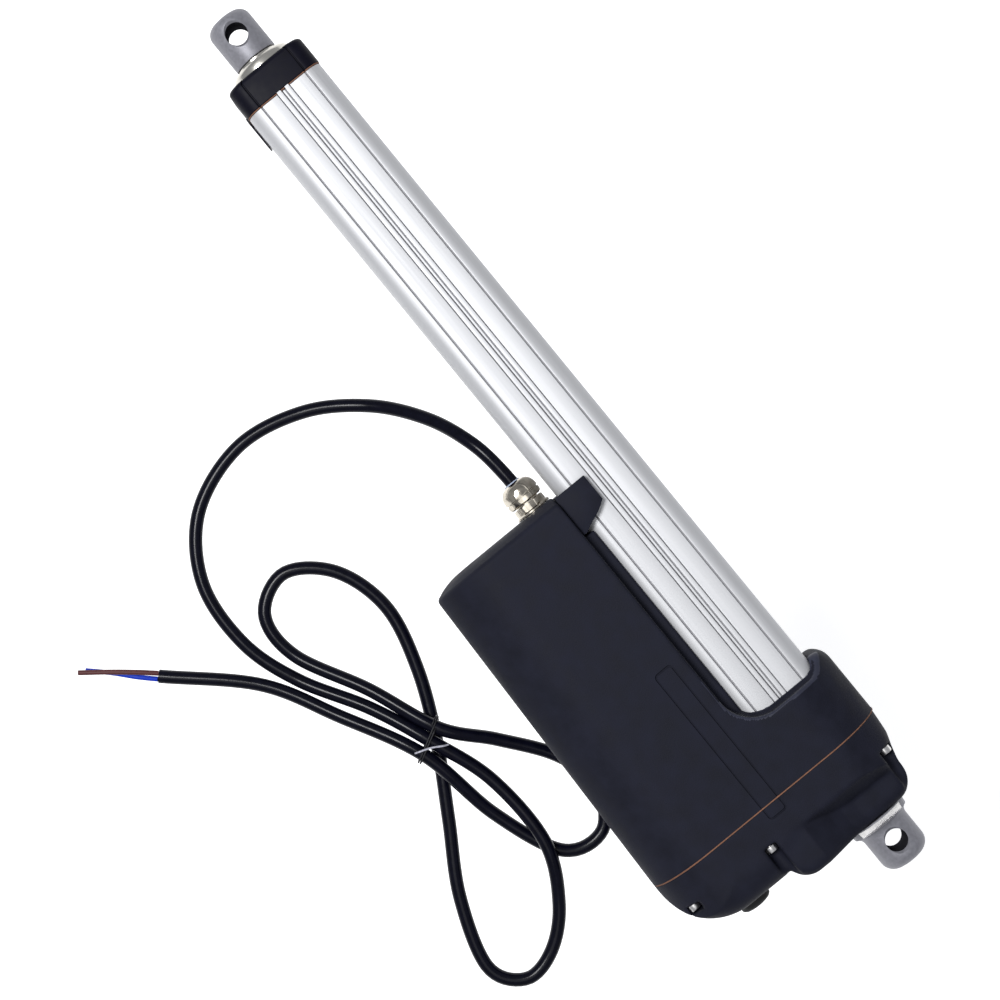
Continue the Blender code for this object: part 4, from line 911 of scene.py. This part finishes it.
def in_groove(at, normal):
    """Whether a face of the tube lies in one of its grooves, or beside the slot's floor; these
    faces get painted shade.
    """
    low, high = sorted((abs(at.y), abs(at.z)))
    deep_enough = 1.5 if low < 3.5 else 0.35        # the slot's floor is 1 mm down
    return HALF_TUBE - high > deep_enough and 0.6 < low < 17.5


def make_tube():
    """The extrusion, with a keyed bore, a channel for the sensor board and rib tips."""
    front_x, end_chamfer, end_scale = CAP[0].x - 0.9, 0.3, 0.985
    outline = tube_outline()
    rings = []
    for x, scale in ((TUBE[0].x, end_scale), (TUBE[0].x + end_chamfer, 1.0),
                     (front_x - end_chamfer, 1.0), (front_x, end_scale)):
        rings.append([(x, y * scale, z * scale) for y, z in outline])
    ends = (TUBE[0].x - 1, TUBE[1].x + 1)
    bore_radius, key_reach, key_half = 18.5, 20.8, 2.8
    keys = box(ends, (-key_reach, key_reach), (-key_half, key_half))
    keys.transform(Matrix.Rotation(math.radians(45), 4, "X"))
    sensor_channel = box(ends, (10.0, 22.3), (-6.0, 6.0))
    tools = [turned([(x, bore_radius) for x in ends], sides=64), keys, sensor_channel]
    tools += in_corner_channels([(x, CHANNEL_RADIUS) for x in ends])
    tube = combined(mesh_of(loft(rings)), tools)
    tube = place_piece("extrusion", combined(tube, rib_tips(), "UNION"), "outer_tube", 30.0)
    # the faces in the grooves take a darker colour: painted shade
    recoat(tube, "groove_painted_shade", in_groove)


def make_cap():
    """The cap, with a lip on the motor's side and room for ring, wiper, screws and ribs."""
    nose, tight, loose = 3.0, 0.2, 0.5
    rings = [(CAP[0].x, tight), (CAP[0].x + 0.3, loose)]
    rings += arc((CAP[1].x - nose, loose - nose), nose, 90, 15, 5)
    cap = mesh_of(loft([[(x, y, z) for y, z in tube_outline(grow, slots=False)]
                        for x, grow in rings]))
    lip = box((CAP[0].x, CAP[0].x + 2.4), (HALF_TUBE - 1.0, HALF_TUBE + 1.3), (-7.5, 7.5))
    cap = combined(cap, [lip], "UNION")
    seat_x, seat_radius, rod_hole = 261.7, 16.3, span("piston_rod")[1].y + 0.4
    back_x, face_x = CAP[0].x - 1, CAP[1].x
    bore = [(back_x, rod_hole), (seat_x, rod_hole), (seat_x, seat_radius),
            (face_x - 0.8, seat_radius), (face_x + 0.1, 17.2), (face_x + 1, 17.2)]
    head_x, head_radius = face_x - 4.6, 3.8
    holes = [(back_x, CHANNEL_RADIUS), (head_x, CHANNEL_RADIUS), (head_x, head_radius),
             (face_x + 1, head_radius)]
    tools = [turned(bore)] + rib_tips(RIB_SPARE)
    tools += in_corner_channels(holes, SMALL_ROUND)
    place_piece("end_cap", combined(cap, tools), "front_cap", 40.0)


def make_cap_gasket():
    low, high = span("cap_gasket")
    opening = 22.0
    gasket = mesh_of(prism_x(tube_outline(0.2, slots=False), low.x, high.x))
    ends = (low.x - 1, high.x + 1)
    tools = [turned([(x, opening) for x in ends])] + rib_tips(RIB_SPARE)
    tools += in_corner_channels([(x, CHANNEL_RADIUS) for x in ends])
    place_piece("cap_gasket_sheet", combined(gasket, tools), "cap_gasket")


def make_rod_seals():
    """The bright ring on the cap, the wiper inside it, and the strip behind the cap."""
    rod = span("piston_rod")[1].y
    low, high, outer = RING[0].x, RING[1].x, RING[1].y
    ring = [(low, rod + 0.5), (low, outer - 0.4), (low + 0.4, outer), (high - 2.2, outer),
            (high - 1.2, outer - 0.4), (high, outer - 1.8), (high, 14.6),
            (high - 0.9, rod + 0.5)]
    place_piece("bright_ring", turned(ring, ring=True), "cap_ring", 30.0)
    low, high = (corner.x for corner in span("wiper_seal"))
    wiper = [(low, rod + 0.6), (low, 15.9), (high - 1.2, 15.9), (high - 0.4, 15.2),
             (high - 1.6, rod + 1.6), (high, rod + 0.15), (high - 1.8, rod + 0.6)]
    place_piece("rod_wiper", turned(wiper, ring=True), "wiper_seal", 30.0)
    low, high = span("slot_end_strip")
    outline = softened([(low.y, low.z), (high.y, low.z), (high.y, high.z), (low.y, high.z)], 0.45)
    place_piece("end_strip", prism_x(outline, low.x, high.x), "slot_end_strip")


# ---------------- screws and plug

def socket_screw(name, node, facing):
    """A cap screw with a hexagon socket. facing is 1 or -1, the way its head points."""
    low, high = span(node)
    place = tuple(((low + high) / 2).yz)
    head_x, shank_x = (high.x, low.x) if facing > 0 else (low.x, high.x)
    head_radius = (high.y - low.y) / 2
    head, shank_radius, socket_depth = 3.7, 2.0, 2.0
    profile = [(head_x - facing * x, r)
               for x, r in ((0.0, head_radius - 0.6), (0.2, head_radius - 0.2),
                            (0.7, head_radius), (head - 0.1, head_radius),
                            (head, head_radius - 0.1), (head, shank_radius))]
    profile += [(shank_x + facing * 0.7, shank_radius), (shank_x, shank_radius - 0.6)]
    socket = hexagon(0.9 * head_radius, place)
    socket_x = sorted((head_x + facing, head_x - facing * socket_depth))
    screw = combined(mesh_of(turned(profile, place, SMALL_ROUND)), [prism_x(socket, *socket_x)])
    place_piece(name, screw, node, 30.0)


def make_screws():
    for i in range(4):
        socket_screw(f"cap_bolt_{i + 1}", f"cap_screw_{i + 1}", 1)
    for i in range(6):
        socket_screw(f"cover_bolt_{i + 1}", f"cover_screw_{i + 1}", -1)


def make_plug():
    """The domed plug over the hand drive, behind the motor."""
    low, high = span("drive_plug")
    face_x = COVER_REAR_X
    profile = [(low.x, 2.0), (low.x + 0.1, 6.2), (low.x + 0.6, 7.9), (low.x + 1.5, 9.1),
               (low.x + 2.3, 9.6), (face_x - 0.7, 9.6), (face_x - 0.4, 9.2),
               (face_x - 0.4, 6.0), (high.x - 0.5, 5.8), (high.x, 5.2)]
    place_piece("drive_cap", turned(profile, (MOTOR_Y, 0.0)), "drive_plug", 40.0)


# ---------------- eyes and rod

def cross_hole(x, radius, reach):
    """A cutter for a pin hole along Z, with both ends chamfered."""
    chamfer = 1.6
    levels = [(-reach - 5, radius + chamfer), (-reach - 0.1, radius + chamfer),
              (-reach + chamfer, radius)]
    levels += [(-z, r) for z, r in reversed(levels)]
    return loft([[(px, py, z) for px, py in circle(r, 64, (x, 0.0))] for z, r in levels])


def in_pin_hole(at, normal, hole_x):
    return math.hypot(at.x - hole_x, at.y) < PIN_RADIUS + 0.5 and abs(normal.z) < 0.3


def make_rear_eye():
    """The fixed eye: a round end, a flared foot with two wrench flats, and a shank."""
    low, high = span("rear_eye")
    radius, end_round, hole_x = 14.6, 8.0, -289.8
    foot_x = COVER[0].x - 0.3
    flare_x, flare = -282.8, 5.0
    flat_x, flat_z = (-277.9, -274.2), 11.4
    profile = arc((low.x + end_round, radius - end_round), end_round, 180, 90, 9)
    profile += arc((flare_x, radius + flare), flare, -90, -20, 10)
    profile += [(foot_x - 0.2, 18.4), (foot_x, 18.2), (foot_x, 9.0), (high.x - 0.8, 9.0),
                (high.x, 8.2)]
    eye = mesh_of(turned(profile, sides=EYE_SIDES))
    flats = [box(flat_x, (-30.0, 30.0), sorted((side * flat_z, side * 30.0)))
             for side in (1, -1)]
    eye = combined(eye, flats + [cross_hole(hole_x, PIN_RADIUS, radius)])
    eye = place_piece("fixed_eye", eye, "rear_eye", 32.0)
    recoat(eye, "zinc_steel",
           lambda at, normal: flat_x[0] < at.x < flat_x[1] and abs(abs(at.z) - flat_z) < 0.05)
    # the pin hole's wall takes a dark colour: painted shade
    recoat(eye, "bore_painted_shade", lambda at, normal: in_pin_hole(at, normal, hole_x))


def make_rod():
    """The eye at the rod's end, with a spigot into the rod, and the hollow rod."""
    low, high = span("rod_eye")
    radius, end_round, back_x, hole_x, spigot = 13.4, 6.5, 276.2, 292.1, 8.7
    profile = [(low.x, spigot - 0.7), (low.x + 0.7, spigot), (back_x, spigot),
               (back_x, radius - 0.5), (back_x + 0.15, radius - 0.15), (back_x + 0.5, radius)]
    profile += arc((high.x - end_round, radius - end_round), end_round, 90, 0, 9)
    eye = combined(mesh_of(turned(profile, sides=EYE_SIDES)),
                   [cross_hole(hole_x, PIN_RADIUS, radius)])
    eye = place_piece("travelling_eye", eye, "rod_eye", 32.0)
    # the pin hole's wall takes a dark colour: painted shade
    recoat(eye, "bore_painted_shade", lambda at, normal: in_pin_hole(at, normal, hole_x))
    low, high = span("piston_rod")
    outside, bore = high.y, spigot + 0.3
    rod = [(low.x, bore), (low.x, outside - 0.5), (low.x + 0.5, outside),
           (high.x - 0.3, outside), (high.x, outside - 0.3), (high.x, bore)]
    place_piece("chromed_rod", turned(rod, ring=True), "piston_rod", 30.0)


# ---------------- gland

GLAND_PLACE = (GLAND_Y, 0.0)
GLAND_BORE = CABLE_RADIUS + 0.4
PAST_GLAND = (-30.0, 10.0)      # the ends of cutters that go right through the gland


def make_gland_body():
    """The gland's body: a thread into the casting, a flange and a small hexagon."""
    body = [(-26.0, GLAND_BORE), (-26.0, 7.4), (-19.6, 7.4), (-19.6, 10.6), (-19.2, 11.0),
            (-18.4, 11.0), (-17.7, 10.2), (-17.7, 9.2), (-13.6, 9.2), (-13.6, 7.2),
            (-9.0, 7.2), (-9.0, GLAND_BORE)]
    gland = mesh_of(turned(body, GLAND_PLACE, 72, ring=True))
    flats = mesh_of(turned([(-17.9, 9.2), (-17.2, 9.7), (-14.1, 9.7), (-13.5, 9.0)], GLAND_PLACE))
    flats = combined(flats, [prism_x(hexagon(17.4, GLAND_PLACE), *PAST_GLAND)], "INTERSECT")
    flats = combined(flats, [turned([(x, 8.0) for x in PAST_GLAND], GLAND_PLACE)])
    holder = bmesh.new()
    holder.from_mesh(flats)
    place_piece("gland_base", combined(gland, [holder], "UNION"), "cable_gland_body", 28.0)


def make_gland_nut():
    """The nut: two grips with a groove between them, blunt corners and a dome."""
    low, high = span("cable_gland_nut")
    dome = [(low.x, 9.3), (low.x + 0.8, 10.5), (low.x + 3.4, 10.9), (low.x + 3.7, 10.2),
            (low.x + 4.2, 10.2), (low.x + 4.5, 10.9), (low.x + 5.4, 10.9)]
    dome += [(high.x - 7.5 + 7.3 * math.sin(a), 5.2 + 5.7 * math.cos(a))
             for a in (math.radians(9 * i) for i in range(1, 10))]
    dome += [(high.x, 5.5)]
    nut = combined(mesh_of(turned(dome, GLAND_PLACE)),
                   [prism_x(hexagon(20.6, GLAND_PLACE), *PAST_GLAND)], "INTERSECT")
    bore = [(low.x - 1, 7.6), (-8.6, 7.6), (-8.6, 5.3), (high.x + 1, 5.3)]
    place_piece("gland_nut", combined(nut, [turned(bore, GLAND_PLACE)]), "cable_gland_nut", 24.0)


def make_gland_seal():
    low, high = span("cable_gland_seal")
    seal = [(low.x, GLAND_BORE), (low.x, 5.0), (high.x - 0.5, 5.1), (high.x, 4.8),
            (high.x, GLAND_BORE)]
    place_piece("gland_seal", turned(seal, GLAND_PLACE, ring=True), "cable_gland_seal")


# ---------------- hidden pieces

def dress_hidden_nodes():
    """Pieces that nothing stands for keep their CAD shape and take their slot's material."""
    for name, node in frame["nodes"].items():
        if not node.hide_render:
            node.data.materials.clear()
            node.data.materials.append(MATERIALS[SLOT_OF[name]])


# ---------------- stage

FLOOR_SIZE = 6.0
FLOOR_DROP = -0.45              # far enough below for its shadows to melt away
FLOOR_GLOW = 0.6
SKY_COLOUR = (0.93, 0.95, 1.0, 1.0)
SKY_STRENGTH = 0.4
LIGHTS = (
    ("key", (0.5, 0.4, 1.85), 0.6, 35.0),
    ("fill", (-0.3, 0.5, 2.0), 1.4, 7.0),
)
LIGHT_TARGET = Vector((0.0, 0.05, 0.0))
CAMERA_PLACE = (-0.0027, 0.00885, 1.55)
CAMERA_RIGHT = Vector((-0.6335, -0.7737, 0.0)).normalized()
CAMERA_LENS = 96.7


def make_floor():
    """A plain floor that glows a little, so that it shows as white."""
    bm = bmesh.new()
    bmesh.ops.create_grid(bm, x_segments=8, y_segments=8, size=FLOOR_SIZE)
    mesh = mesh_of(bm)
    floor = new_object("floor", mesh)
    mesh.materials.append(surface("pale_floor", (0.9, 0.9, 0.9), 0.9, scale=3.0, tint=0.01,
                                  bump=0.02, specular=0.1))
    floor.location.z = FLOOR_DROP
    glow = mesh.materials[0].node_tree.nodes["Principled BSDF"].inputs
    glow["Emission Color"].default_value = (1.0, 1.0, 1.0, 1.0)
    glow["Emission Strength"].default_value = FLOOR_GLOW


def make_lights():
    """A dim even sky and the two round lamps of LIGHTS: name, place, width and power."""
    world = bpy.data.worlds.new("studio")
    world.use_nodes = True
    background = world.node_tree.nodes["Background"]
    background.inputs["Color"].default_value = SKY_COLOUR
    background.inputs["Strength"].default_value = SKY_STRENGTH
    bpy.context.scene.world = world
    for name, place, size, power in LIGHTS:
        lamp = bpy.data.lights.new(name, "AREA")
        lamp.shape = "DISK"
        lamp.size = size
        lamp.energy = power
        holder = new_object(name, lamp)
        holder.location = place
        holder.rotation_mode = "QUATERNION"
        holder.rotation_quaternion = (LIGHT_TARGET - Vector(place)).to_track_quat("-Z", "Y")


def make_camera():
    """The camera looks straight down, turned so that the rod points up and to the left."""
    data = bpy.data.cameras.new("camera")
    data.lens = CAMERA_LENS
    camera = new_object("camera", data)
    back = Vector((0.0, 0.0, 1.0))
    turn = Matrix((CAMERA_RIGHT, back.cross(CAMERA_RIGHT), back)).transposed()
    camera.matrix_world = Matrix.Translation(CAMERA_PLACE) @ turn.to_4x4()
    bpy.context.scene.camera = camera


make_camera()
make_cable()
make_castings()
make_seam_gasket()
make_clip()
make_tube()
make_cap()
make_cap_gasket()
make_rod_seals()
make_screws()
make_plug()
make_rear_eye()
make_rod()
make_gland_body()
make_gland_nut()
make_gland_seal()
dress_hidden_nodes()
make_floor()
make_lights()
bpy.context.scene.view_settings.view_transform = "Standard"
